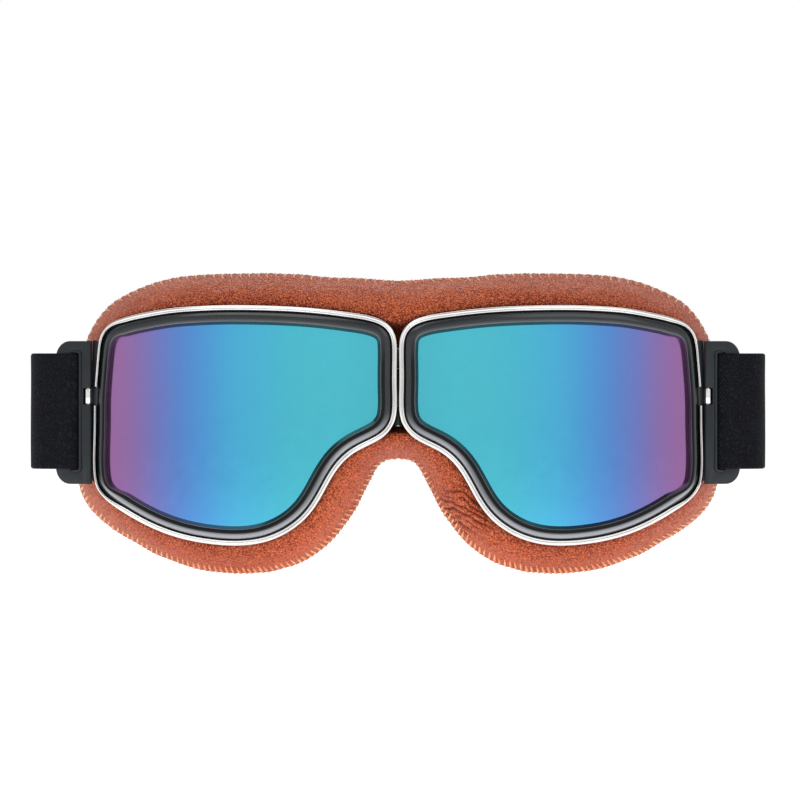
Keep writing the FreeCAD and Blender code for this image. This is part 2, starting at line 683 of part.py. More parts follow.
# local frame: X along the strap leg towards the back, Y inwards (towards the head), Z up
for k, (z0, z1) in enumerate(((low - rail, low), (high, high + rail))):
    sk = body_sketch(slider, "rail_%d" % k, "XY_Plane", z0)
    polyline(sk, [(-L, -2.9), (L, -2.9), (L, 4.3), (-L, 4.3)])
    pad(slider, sk, "rail_pad_%d" % k, z1 - z0)
    if k == 0:
        for m, x in enumerate((-L, L - 2.6)):
            s2 = body_sketch(slider, "outer_bar_%d" % m, "XY_Plane", z0)
            polyline(s2, [(x, -2.9), (x + 2.6, -2.9), (x + 2.6, -1.0), (x, -1.0)])
            pad(slider, s2, "outer_bar_pad_%d" % m, high + rail - z0)
        s3 = body_sketch(slider, "centre_bar", "XY_Plane", z0)
        circle(s3, 0, 3.1, 0.95)
        pad(slider, s3, "centre_bar_pad", high + rail - z0)
slider.Placement = Placement(Vector(centre_on_leg.x, centre_on_leg.y, Z(0)), Rotation(Vector(0, 0, 1), LEG_HEADING))
subpart("adjuster_right", slider)
doc.recompute()

# ---------------------------------------------------------------- padded leather face seal
# Polar reach of the leather's stitched edge from the lens centre, degrees to mm, on the +X side. Past the ends the pad meets
# the other side's in the middle plane.
REACH = [
    (-168.4, 50.5), (-165, 46.95), (-160, 45.1), (-155, 44.6), (-150, 44.5), (-145, 44.7), (-140, 44.9), (-135, 45.3),
    (-130, 45.7), (-125, 45.9), (-120, 46.0), (-115, 45.9), (-110, 45.5), (-105, 45.3), (-100, 44.8), (-95, 44.5),
    (-90, 44.3), (-85, 44.2), (-80, 44.3), (-75, 44.4), (-70, 44.5), (-65, 44.7), (-60, 45.2), (-55, 45.6), (-50, 46.1),
    (-45, 47.2), (-40, 48.3), (-35, 49.4), (-30, 50.2), (-25, 50.4), (-20, 49.7), (-15, 48.3), (-10, 47.3), (-5, 46.8),
    (0, 46.6), (5, 46.7), (10, 47.2), (15, 48.1), (20, 49.5), (25, 51.2), (30, 52.4), (35, 52.7), (40, 52.6), (45, 52.2),
    (50, 51.3), (55, 50.3), (60, 49.4), (65, 48.5), (70, 47.7), (75, 46.9), (80, 46.3), (85, 45.9), (90, 45.8),
    (95, 46.0), (100, 46.6), (105, 47.5), (110, 48.6), (115, 50.2), (120, 51.9), (125, 54.4), (130, 58.0), (135, 62.3),
    (138.6, 66.0),
]
GROW = 1.02  # the stitched edge lies further back than the rim, so it is drawn a little larger about eye level
MID = (0.0, 52.0)


def interp(table, x):
    for (x0, y0), (x1, y1) in zip(table, table[1:]):
        if x0 <= x <= x1:
            return y0 + (y1 - y0) * (x - x0) / (x1 - x0)
    return table[-1][1] if x > table[-1][0] else table[0][1]


RIM_POLAR = sorted((math.degrees(math.atan2(p.y - CENTRE[1], p.x - CENTRE[0])), math.hypot(p.x - CENTRE[0], p.y - CENTRE[1])) for p in DENSE)
RIM_POLAR = [(a - 360, r) for a, r in RIM_POLAR[-3:]] + RIM_POLAR + [(a + 360, r) for a, r in RIM_POLAR[:3]]


def front_y(x, depth):
    return R - math.sqrt(max((R - depth) ** 2 - x * x, 1.0)) - D["face_depth"]


def seal_y(x):
    s = D["seal_radius"]
    return s - math.sqrt(s * s - min(abs(x), s - 5) ** 2)


def polar(angle, r):
    return CENTRE[0] + r * math.cos(math.radians(angle)), CENTRE[1] + r * math.sin(math.radians(angle))


def edge(angle):
    """The stitched edge, x and height, in that direction: the middle plane between the two ends of REACH."""
    if REACH[0][0] <= angle <= REACH[-1][0]:
        x, h = polar(angle, interp(REACH, angle))
        return max(MID[0] + (x - MID[0]) * GROW, 0.0), MID[1] + (h - MID[1]) * GROW
    r = CENTRE[0] / abs(math.cos(math.radians(angle)))
    x, h = polar(angle, r)
    return 0.0, MID[1] + (h - MID[1]) * GROW


def inset_polar(angle, inset):
    """Distance from the centre to the rim line moved in by about inset, measured square to the line."""
    r = interp(RIM_POLAR, angle)
    a, b = interp(RIM_POLAR, angle - 1), interp(RIM_POLAR, angle + 1)
    lean = math.atan2((b - a) / 2, r * math.radians(1))
    return r - inset / max(math.cos(lean), 0.6)


def lerp(a, b, t):
    return a + (b - a) * t


def station(angle):
    """Corner points of one section of the pad: x, y, height."""
    rx, rh = polar(angle, inset_polar(angle, D["wall_gap"] - 0.3))
    ox, oh = edge(angle)
    ix, ih = polar(angle, inset_polar(angle, D["opening_inset"] - 0.1))
    span = math.hypot(ox - rx, oh - rh)
    ux, uh = ((ox - rx) / span, (oh - rh) / span) if span > 1e-6 else (0, 0)
    return rx, rh, ox, oh, ix, ih, span, ux, uh


def ring3(points):
    return Part.makePolygon([Vector(x, y, Z(h)) for x, y, h in points] + [Vector(points[0][0], points[0][1], Z(points[0][2]))])


def leather_section(angle):
    rx, rh, ox, oh, ix, ih, span, ux, uh = station(angle)
    t, lin = D["leather_thick"], D["lining_thick"]
    f8, f10 = front_y(rx, D["bezel_depth"] + 0.05), front_y(rx, D["flange_back"])
    yo = seal_y(ox)
    deep = yo - f10
    outer_pts, inner_pts = [], []
    prof = [(0.0, f8), (0.10, f10 + 0.4), (0.36, f10 + 0.22 * deep), (0.66, f10 + 0.46 * deep), (0.90, f10 + 0.74 * deep), (1.0, yo - 1.1)]
    base = t
    for k, (s, y) in enumerate(prof):
        x, h = rx + ux * (base + (span - base) * s), rh + uh * (base + (span - base) * s)
        outer_pts.append((x, min(y, seal_y(x) - lin - 0.15), h))
    for k, (s, y) in enumerate(prof):
        d = max(base + (span - base) * s - t, 0.0)
        yy = y + (0 if k == 0 else (0.5 if k < 5 else 1.0))
        inner_pts.append((rx + ux * d, min(yy, seal_y(rx + ux * d) - lin - 0.2), rh + uh * d))
    return ring3(outer_pts + inner_pts[::-1])


def foam_section(angle):
    rx, rh, ox, oh, ix, ih, span, ux, uh = station(angle)
    t = D["leather_thick"]
    f10 = front_y(rx, D["flange_back"] + 0.05)
    fi = front_y(ix, D["flange_back"] + 0.05)
    yo = seal_y(ox)
    deep = yo - front_y(rx, D["flange_back"])
    lin = D["lining_thick"]
    covered = REACH[0][0] <= angle <= REACH[-1][0] and span > 3.2
    cut = t + 0.08 if covered else 0.0
    reach = lambda s: (t + (span - t) * s) - cut if covered else span * min(1.0, s * 4 + 0.01)
    pts = [(ix, fi, ih), (rx - ux * 0.05, f10 + 0.02, rh - uh * 0.05)]
    for s, y in ((0.10, f10 + 0.75), (0.36, f10 + 0.22 * deep + 0.55), (0.66, f10 + 0.46 * deep + 0.55), (0.90, f10 + 0.74 * deep + 0.35)):
        d = max(reach(s), 0.02 * (1 + s))
        pts.append((rx + ux * d, min(y, yo - lin - 0.6), rh + uh * d))
    d = max(span - cut, 0.05)
    px, ph = rx + ux * d, rh + uh * d
    pts.append((px, seal_y(px) - lin - 0.15, ph))
    # back face, then the wall of the eye opening, which widens a little towards the face
    jx, jh = lerp(ix, rx, 0.18), lerp(ih, rh, 0.18)
    mx, mh = lerp(jx, ox - ux * 0.1, 0.5), lerp(jh, oh - uh * 0.1, 0.5)
    pts.append((mx, seal_y(mx) - lin - 0.2, mh))
    pts.append((jx, seal_y(jx) - lin - 0.15, jh))
    return ring3(pts)


def lining_section(angle):
    rx, rh, ox, oh, ix, ih, span, ux, uh = station(angle)
    lin = D["lining_thick"]
    jx, jh = lerp(ix, rx, 0.18), lerp(ih, rh, 0.18)
    qx, qh = ox - ux * 0.1, oh - uh * 0.1
    mx, mh = lerp(jx, qx, 0.5), lerp(jh, qh, 0.5)
    return ring3([
        (jx, seal_y(jx) - lin, jh), (mx, seal_y(mx) - lin, mh), (qx, seal_y(qx) - lin, qh),
        (qx, seal_y(qx), qh), (mx, seal_y(mx), mh), (jx, seal_y(jx), jh),
    ])


def loft(sections, closed):
    s = Part.makeLoft(sections + ([sections[0]] if closed else []), True, True, False)
    if s.Volume < 0:
        s.reverse()
    return s


angles_all = [-180 + 6.0 * k for k in range(60)]
angles_all = sorted(set(angles_all) - {-168.0, 138.0} | {-168.4, 138.6})
angles_leather = [a for a in angles_all if REACH[0][0] <= a <= REACH[-1][0]]
leather_full = loft([leather_section(a) for a in angles_leather], False)
foam_full = loft([foam_section(a) for a in angles_all], True)
lining_full = loft([lining_section(a) for a in angles_all], True)
for nm, s in (("leather", leather_full), ("foam", foam_full), ("lining", lining_full)):
    print(nm, "valid", s.isValid(), "volume", round(s.Volume, 1), "solids", len(s.Solids), [round(q, 1) for q in (s.BoundBox.XMin, s.BoundBox.XMax, s.BoundBox.YMin, s.BoundBox.YMax, s.BoundBox.ZMin, s.BoundBox.ZMax)])

# The pad folds at the nose: a wedge behind the hinge axis belongs to the soft nose bridge, the rest to each side.
fold = math.radians(D["fold_half"])
w0 = 2.8


def wedge(clear):
    a = Vector(w0 - clear, hy - 30, Z(-20))
    b = Vector(w0 - clear, hy, Z(-20))
    c = Vector(w0 - clear + 70 * math.tan(fold), hy + 70, Z(-20))
    face = Part.Face(Part.makePolygon([Vector(-1, hy - 30, Z(-20)), a, b, c, Vector(-1, hy + 70, Z(-20)), Vector(-1, hy - 30, Z(-20))]))
    return face.extrude(Vector(0, 0, 140))


def feature(node, shape):
    f = doc.addObject("Part::Feature", node)
    f.Shape = shape
    f.Placement = Placement()
    return subpart(node, f)


def clean(shape):
    solids = [s for s in shape.Solids if s.Volume > 1.0]
    return solids[0] if len(solids) == 1 else Part.makeCompound(solids)


side_cut, nose_cut = wedge(0.0), wedge(0.35)
hinge_room = Part.makeBox(7.8, 20, D["hinge_top"] - D["hinge_bottom"] + 3.4, Vector(0, hy + 2.5 - 20, Z(D["hinge_bottom"] - 1.7)))
foam_full = foam_full.cut(hinge_room)
half_space = Part.makeBox(120, 200, 160, Vector(0.0, -60, Z(-20)))
for node, full in (("leather_cover", leather_full), ("foam_pad", foam_full), ("face_lining", lining_full)):
    side_part = clean(full.cut(side_cut))
    feature(node + "_right", side_part)
    feature(node + "_left", side_part.mirror(Vector(0, 0, 0), Vector(1, 0, 0)))
    nose = full.common(nose_cut).common(half_space)
    nose.translate(Vector(-0.15, 0, 0))  # the two halves overlap a little in the middle, so that they fuse
    both = nose.fuse(nose.mirror(Vector(0, 0, 0), Vector(1, 0, 0)))
    feature({"leather_cover": "nose_leather", "foam_pad": "nose_foam", "face_lining": "nose_lining"}[node], clean(both.removeSplitter()))

# ---------------------------------------------------------------- the -X side
for node in ("front_frame", "rear_frame", "rim", "lens", "lens_gasket", "frame_screws", "temple_clip", "strap_plate", "temple_pin", "adjuster"):
    mirrored(node + "_left", SUBPARTS[node + "_right"])
doc.recompute()

# ---------------------------------------------------------------- checks and export
bad = [o.Name for o in doc.Objects if "Invalid" in o.State or "Error" in o.State]
if bad:
    raise SystemExit("objects failed to recompute: %s" % bad)
for node, o in SUBPARTS.items():
    s = o.Shape
    if s.isNull() or not s.isValid() or not s.Solids or min(q.Volume for q in s.Solids) <= 0:
        raise SystemExit("%s: null %s valid %s solids %d" % (node, s.isNull(), s.isValid(), len(s.Solids)))
os.makedirs("parts", exist_ok=True)
for node, o in sorted(SUBPARTS.items()):
    o.Shape.exportStep("parts/%s.step" % node)
    b = o.Shape.BoundBox
    print("%-22s %9.1f mm3 %2d solids  x %.1f..%.1f  y %.1f..%.1f  z %.1f..%.1f" % (node, o.Shape.Volume, len(o.Shape.Solids), b.XMin, b.XMax, b.YMin, b.YMax, b.ZMin, b.ZMax))
print("strap, single length from plate to plate %.0f mm, whole webbing %.0f mm" % (2 * outer.length, 2 * (outer.length + math.pi * lay + inner.length)))
print("leg start", leg_start, "centre on leg", centre_on_leg, "back", back_y, "inner arc radius", round(radius, 2), "R2", round(R2, 1))
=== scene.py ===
# Folding twin-lens riding goggles: looks.  Everything is in metres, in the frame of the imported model.
import bpy
import bmesh
import json
import math
import random
import numpy as np
from mathutils import Vector, Matrix, noise

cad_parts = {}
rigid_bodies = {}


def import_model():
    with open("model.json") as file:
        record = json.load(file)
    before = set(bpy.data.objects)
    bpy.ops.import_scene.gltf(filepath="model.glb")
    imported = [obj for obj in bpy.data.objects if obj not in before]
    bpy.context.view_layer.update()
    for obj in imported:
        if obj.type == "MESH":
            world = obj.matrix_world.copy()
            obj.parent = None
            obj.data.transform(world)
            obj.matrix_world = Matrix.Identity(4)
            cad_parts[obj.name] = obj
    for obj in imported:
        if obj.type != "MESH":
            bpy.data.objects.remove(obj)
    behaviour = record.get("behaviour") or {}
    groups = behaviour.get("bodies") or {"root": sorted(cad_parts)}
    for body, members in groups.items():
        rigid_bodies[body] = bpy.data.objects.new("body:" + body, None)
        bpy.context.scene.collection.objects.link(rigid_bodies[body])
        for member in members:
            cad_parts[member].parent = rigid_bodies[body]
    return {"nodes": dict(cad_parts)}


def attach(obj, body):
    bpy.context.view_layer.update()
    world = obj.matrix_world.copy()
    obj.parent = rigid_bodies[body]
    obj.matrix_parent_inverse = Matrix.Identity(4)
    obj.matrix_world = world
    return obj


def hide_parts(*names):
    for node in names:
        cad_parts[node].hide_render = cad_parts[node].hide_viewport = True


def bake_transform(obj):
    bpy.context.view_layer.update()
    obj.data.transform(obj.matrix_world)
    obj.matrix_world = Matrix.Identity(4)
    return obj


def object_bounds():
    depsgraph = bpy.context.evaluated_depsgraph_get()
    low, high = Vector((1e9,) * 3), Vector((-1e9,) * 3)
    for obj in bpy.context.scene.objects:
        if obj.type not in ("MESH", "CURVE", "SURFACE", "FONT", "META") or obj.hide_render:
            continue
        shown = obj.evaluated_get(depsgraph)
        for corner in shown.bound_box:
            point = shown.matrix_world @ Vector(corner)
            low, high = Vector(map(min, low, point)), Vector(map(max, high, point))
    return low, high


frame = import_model()


def plain(box):
    return [[float(v) for v in corner] for corner in box]


cad_box = plain(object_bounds())
random.seed(7)
rng = np.random.default_rng(7)

# ------------------------------------------------------------------ dimensions, in millimetres as in the CAD
R, FD, EH = 180.0, 27.0, 47.0
HINGE_Y = 11.8 - FD
HINGE_Z0, HINGE_Z1 = 44.7, 67.2
CENTRE = np.array([49.5, 44.7])
RIM_LINE = np.array([
    (91.1, 44.7), (91.0, 52.4), (90.5, 59.9), (89.9, 66.8), (88.8, 71.6), (86.7, 74.2), (82.8, 76.1), (75.9, 77.7),
    (68.6, 78.9), (61.1, 79.5), (53.3, 79.8), (45.3, 79.8), (37.3, 79.6), (29.4, 79.2), (21.6, 78.5), (13.8, 77.5),
    (7.2, 76.2), (3.6, 74.4), (1.6, 71.6), (1.05, 68.2), (1.05, 62.3), (1.05, 55.6), (1.05, 49.6), (1.75, 45.9),
    (3.9, 42.6), (8.0, 39.9), (13.5, 37.0), (17.6, 33.4), (21.0, 28.4), (24.4, 22.3), (28.0, 17.5), (32.5, 13.8),
    (37.6, 11.2), (43.4, 9.7), (49.9, 9.3), (56.8, 9.8), (63.7, 11.0), (70.4, 13.0), (76.8, 15.8), (82.8, 19.2),
    (87.6, 22.7), (90.2, 26.0), (91.2, 30.6), (91.3, 37.0),
])
REACH = np.array([
    (-168.4, 50.5), (-165, 46.95), (-160, 45.1), (-155, 44.6), (-150, 44.5), (-145, 44.7), (-140, 44.9), (-135, 45.3),
    (-130, 45.7), (-125, 45.9), (-120, 46.0), (-115, 45.9), (-110, 45.5), (-105, 45.3), (-100, 44.8), (-95, 44.5),
    (-90, 44.3), (-85, 44.2), (-80, 44.3), (-75, 44.4), (-70, 44.5), (-65, 44.7), (-60, 45.2), (-55, 45.6), (-50, 46.1),
    (-45, 47.2), (-40, 48.3), (-35, 49.4), (-30, 50.2), (-25, 50.4), (-20, 49.7), (-15, 48.3), (-10, 47.3), (-5, 46.8),
    (0, 46.6), (5, 46.7), (10, 47.2), (15, 48.1), (20, 49.5), (25, 51.2), (30, 52.4), (35, 52.7), (40, 52.6), (45, 52.2),
    (50, 51.3), (55, 50.3), (60, 49.4), (65, 48.5), (70, 47.7), (75, 46.9), (80, 46.3), (85, 45.9), (90, 45.8),
    (95, 46.0), (100, 46.6), (105, 47.5), (110, 48.6), (115, 50.2), (120, 51.9), (125, 54.4), (130, 58.0), (135, 62.3),
    (138.6, 66.0),
])
GROW, MID_H = 1.02, 52.0
SEAL_R = 130.0


def periodic_spline(points, count):
    """Closed cubic through the points, evenly spaced along its length."""
    n = len(points)
    nxt = np.roll(points, -1, axis=0)
    h = np.hypot(*(nxt - points).T)
    A = np.zeros((n, n))
    rhs = np.zeros((n, 2))
    for i in range(n):
        hp, hi = h[i - 1], h[i]
        A[i, i - 1] += hp
        A[i, i] += 2 * (hp + hi)
        A[i, (i + 1) % n] += hi
        rhs[i] = 6 * ((nxt[i] - points[i]) / hi - (points[i] - points[i - 1]) / hp)
    M = np.linalg.solve(A, rhs)
    out = []
    for i in range(n):
        t = np.linspace(0, 1, 41)[:-1][:, None] * h[i]
        a, b = points[i], nxt[i]
        ma, mb = M[i], M[(i + 1) % n]
        out.append(ma * (h[i] - t) ** 3 / (6 * h[i]) + mb * t ** 3 / (6 * h[i]) + (a / h[i] - ma * h[i] / 6) * (h[i] - t) + (b / h[i] - mb * h[i] / 6) * t)
    dense = np.vstack(out)
    closed = np.vstack([dense, dense[:1]])
    s = np.concatenate([[0], np.cumsum(np.hypot(*np.diff(closed, axis=0).T))])
    q = np.linspace(0, s[-1], count, endpoint=False)
    return np.column_stack([np.interp(q, s, closed[:, 0]), np.interp(q, s, closed[:, 1])])


LINE = periodic_spline(RIM_LINE, 1200)
SEG_A, SEG_B = LINE, np.roll(LINE, -1, axis=0)


def polar_of(points):
    d = points - CENTRE
    return np.degrees(np.arctan2(d[:, 1], d[:, 0])), np.hypot(d[:, 0], d[:, 1])


_la, _lr = polar_of(LINE)
_order = np.argsort(_la)
LA, LR = _la[_order], _lr[_order]
LA = np.concatenate([LA[-3:] - 360, LA, LA[:3] + 360])
LR = np.concatenate([LR[-3:], LR, LR[:3]])


def base_radius(angles):
    return np.interp((angles + 180) % 360 - 180, LA, LR)


def signed_inset(points, angles, r):
    """Distance inside the rim line, negative outside."""
    best = np.full(len(points), 1e9)
    ab = SEG_B - SEG_A
    ll = (ab ** 2).sum(1)
    for k in range(0, len(points), 240):
        p = points[k:k + 240, None, :]
        t = np.clip(((p - SEG_A) * ab).sum(2) / ll, 0, 1)
        d = np.hypot(*np.moveaxis(p - (SEG_A + t[..., None] * ab), 2, 0))
        best[k:k + 240] = d.min(1)
    return np.where(r < base_radius(angles), best, -best)


def direction(angles):
    return np.column_stack([np.cos(np.radians(angles)), np.sin(np.radians(angles))])


_ring_cache = {}


def ring(angles, inset):
    """Radii of the rim line moved in by inset (a number or one per angle)."""
    key = (len(angles), float(angles[0]), float(np.mean(inset)), float(np.std(inset)))
    if key in _ring_cache:
        return _ring_cache[key]
    dirs = direction(angles)
    r = base_radius(angles) - inset
    for _ in range(14):
        f = signed_inset(CENTRE + dirs * r[:, None], angles, r)
        r = r + np.clip(f - inset, -1.5, 1.5) * 0.92
    _ring_cache[key] = r
    return r


def on_drum(x, h, depth):
    """A point in metres, depth millimetres behind the front surface, where a wall runs straight back."""
    x, h, depth = np.broadcast_arrays(np.asarray(x, float), np.asarray(h, float), np.asarray(depth, float))
    y = R - np.sqrt(np.maximum((R - depth) ** 2 - x ** 2, 1.0)) - FD
    return np.stack([x, y, h - EH], -1)


def drum_y(x, depth):
    return R - np.sqrt(np.maximum((R - depth) ** 2 - np.asarray(x) ** 2, 1.0)) - FD


def seal_y(x):
    x = np.minimum(np.abs(x), SEAL_R - 5)
    return SEAL_R - np.sqrt(SEAL_R ** 2 - x ** 2)


# ------------------------------------------------------------------ mesh helpers
def make(name, verts_mm, faces, mats, face_mat=None, sharp=None, weld=None, uv=None, flip=False, attr=None):
    me = bpy.data.meshes.new(name)
    v = np.asarray(verts_mm, float) * 0.001
    if flip:
        v = v * np.array([-1, 1, 1])
        faces = [tuple(reversed(f)) for f in faces]
    me.from_pydata([tuple(p) for p in v], [], faces)
    for m in mats:
        me.materials.append(m)
    if face_mat is not None:
        me.polygons.foreach_set("material_index", np.asarray(face_mat, np.int32))
    if uv is not None:
        layer = me.uv_layers.new(name="along")
        idx = np.empty(len(me.loops), np.int32)
        me.loops.foreach_get("vertex_index", idx)
        layer.data.foreach_set("uv", np.asarray(uv, np.float32)[idx].ravel())
    for key, values in (attr or {}).items():
        a = me.attributes.new(key, "FLOAT", "POINT")
        a.data.foreach_set("value", np.asarray(values, np.float32))
    if weld:
        bm = bmesh.new()
        bm.from_mesh(me)
        bmesh.ops.remove_doubles(bm, verts=bm.verts, dist=weld * 0.001)
        bm.to_mesh(me)
        bm.free()
    me.validate()
    me.shade_smooth()
    if sharp is not None:
        me.set_sharp_from_angle(angle=math.radians(sharp))
    me.update()
    ob = bpy.data.objects.new(name, me)
    bpy.context.scene.collection.objects.link(ob)
    return ob


def orient(ob):
    bm = bmesh.new()
    bm.from_mesh(ob.data)
    bmesh.ops.recalc_face_normals(bm, faces=bm.faces)
    bm.to_mesh(ob.data)
    bm.free()
    return ob


def apply_modifiers(ob):
    bpy.context.view_layer.update()
    dg = bpy.context.evaluated_depsgraph_get()
    me = bpy.data.meshes.new_from_object(ob.evaluated_get(dg), preserve_all_data_layers=True, depsgraph=dg)
    ob.modifiers.clear()
    old = ob.data
    ob.data = me
    bpy.data.meshes.remove(old)
    return ob


# ------------------------------------------------------------------ materials
class Mat:
    def __init__(self, name, base, rough, metallic=0.0, **sockets):
        self.m = bpy.data.materials.new(name)
        self.m.use_nodes = True
        self.nt = self.m.node_tree
        self.b = self.nt.nodes["Principled BSDF"]
        self.b.inputs["Base Color"].default_value = (*base, 1)
        self.b.inputs["Roughness"].default_value = rough
        self.b.inputs["Metallic"].default_value = metallic
        for k, v in sockets.items():
            self.b.inputs[k.replace("_", " ")].default_value = v
        self.tc = self.nt.nodes.new("ShaderNodeTexCoord")

    def node(self, kind, **props):
        n = self.nt.nodes.new(kind)
        for k, v in props.items():
            setattr(n, k, v)
        return n

    def link(self, a, b):
        self.nt.links.new(a, b)

    def coords(self, scale=(1, 1, 1), source="Object"):
        mp = self.node("ShaderNodeMapping")
        mp.inputs["Scale"].default_value = scale
        self.link(self.tc.outputs[source], mp.inputs["Vector"])
        return mp.outputs["Vector"]

    def noise(self, scale, detail=4.0, rough=0.55, vec=None, distort=0.0):
        n = self.node("ShaderNodeTexNoise")
        n.inputs["Scale"].default_value = scale
        n.inputs["Detail"].default_value = detail
        n.inputs["Roughness"].default_value = rough
        n.inputs["Distortion"].default_value = distort
        self.link(vec if vec is not None else self.coords(), n.inputs["Vector"])
        return n.outputs["Fac"]

    def voronoi(self, scale, feature="DISTANCE_TO_EDGE", vec=None, out="Distance", randomness=1.0):
        n = self.node("ShaderNodeTexVoronoi", feature=feature)
        n.inputs["Scale"].default_value = scale
        n.inputs["Randomness"].default_value = randomness
        self.link(vec if vec is not None else self.coords(), n.inputs["Vector"])
        return n.outputs[out]

    def ramp(self, fac, stops, interpolation="LINEAR"):
        r = self.node("ShaderNodeValToRGB")
        el = r.color_ramp.elements
        r.color_ramp.interpolation = interpolation
        while len(el) > 1:
            el.remove(el[-1])
        el[0].position, el[0].color = stops[0][0], (*stops[0][1], 1)
        for p, c in stops[1:]:
            e = el.new(p)
            e.color = (*c, 1)
        self.link(fac, r.inputs["Fac"])
        return r.outputs["Color"]

    def span(self, fac, lo, hi, a, b):
        n = self.node("ShaderNodeMapRange")
        n.inputs["From Min"].default_value = lo
        n.inputs["From Max"].default_value = hi
        n.inputs["To Min"].default_value = a
        n.inputs["To Max"].default_value = b
        self.link(fac, n.inputs["Value"])
        return n.outputs["Result"]

    def math(self, op, a, b=None):
        n = self.node("ShaderNodeMath", operation=op)
        for k, x in enumerate((a, b)):
            if x is None:
                continue
            if isinstance(x, (int, float)):
                n.inputs[k].default_value = x
            else:
                self.link(x, n.inputs[k])
        return n.outputs[0]

    def mix(self, fac, a, b, blend="MIX"):
        n = self.node("ShaderNodeMix", data_type="RGBA", blend_type=blend)
        for sock, x in ((n.inputs[0], fac), (n.inputs[6], a), (n.inputs[7], b)):
            if isinstance(x, (int, float)):
                sock.default_value = x
            elif isinstance(x, tuple):
                sock.default_value = (*x, 1)
            else:
                self.link(x, sock)
        return n.outputs[2]

    def bump(self, height, strength, distance, prior=None):
        n = self.node("ShaderNodeBump")
        n.inputs["Strength"].default_value = strength
        n.inputs["Distance"].default_value = distance
        self.link(height, n.inputs["Height"])
        if prior is not None:
            self.link(prior, n.inputs["Normal"])
        return n.outputs["Normal"]

    def set(self, **kw):
        for k, v in kw.items():
            self.link(v, self.b.inputs[k.replace("_", " ")])
        return self.m


def chrome():
    m = Mat("chrome_plate", (0.75, 0.74, 0.725), 0.07, 1.0)
    n = m.noise(900, 3)
    m.set(Roughness=m.span(n, 0.3, 0.7, 0.05, 0.12), Base_Color=m.ramp(m.noise(160, 2), [(0.3, (0.72, 0.71, 0.70)), (0.7, (0.79, 0.775, 0.76))]),
          Normal=m.bump(m.noise(2600, 2, vec=m.coords((1, 1, 0.15))), 0.05, 0.00002))
    return m.m


def moulded(name, base, lo, hi, grain, depth, coat=0.0, metallic=0.0, gloss=0.5):
    m = Mat(name, base, (lo + hi) / 2, metallic)
    m.b.inputs["Specular IOR Level"].default_value = gloss
    if coat:
        m.b.inputs["Coat Weight"].default_value = coat
        m.b.inputs["Coat Roughness"].default_value = 0.12
    dark = tuple(c * 0.82 for c in base)
    light = tuple(min(c * 1.25 + 0.002, 1) for c in base)
    wear = m.noise(240, 5, 0.6)
    m.set(Base_Color=m.ramp(m.noise(70, 3), [(0.35, dark), (0.65, light)]), Roughness=m.span(wear, 0.3, 0.7, lo, hi),
          Normal=m.bump(m.noise(grain, 3), 0.35, depth))
    return m.m


def lens_mirror():
    m = Mat("mirror_coat", (0.1, 0.4, 0.6), 0.09, 0.92)
    m.b.inputs["Coat Weight"].default_value = 0.2
    m.b.inputs["Coat Roughness"].default_value = 0.03
    sep = m.node("ShaderNodeSeparateXYZ")
    m.link(m.tc.outputs["Object"], sep.inputs[0])
    x = m.math("ABSOLUTE", sep.outputs[0])
    # the bands of the coating wander very slightly up and down the lens
    wander = m.math("MULTIPLY", m.math("SUBTRACT", m.noise(26, 2, vec=m.coords((1, 1, 0.25))), 0.5), 0.0018)
    f = m.span(m.math("ADD", x, wander), 0.004, 0.090, 0.0, 1.0)
    table = [
        (5, 0.071, 0.470, 0.570), (17, 0.072, 0.500, 0.607), (27, 0.072, 0.495, 0.605), (34, 0.070, 0.478, 0.612),
        (42, 0.068, 0.446, 0.650), (48, 0.069, 0.418, 0.665), (54, 0.072, 0.358, 0.664), (60, 0.081, 0.290, 0.648),
        (66, 0.103, 0.235, 0.592), (72, 0.158, 0.192, 0.520), (78, 0.240, 0.160, 0.420), (83, 0.297, 0.145, 0.368),
        (89, 0.330, 0.140, 0.330),
    ]
    col = m.ramp(f, [((x_ - 4) / 86, (r, g, b)) for x_, r, g, b in table])
    m.set(Base_Color=col, Roughness=m.span(m.noise(320, 3), 0.3, 0.7, 0.09, 0.13))
    return m.m


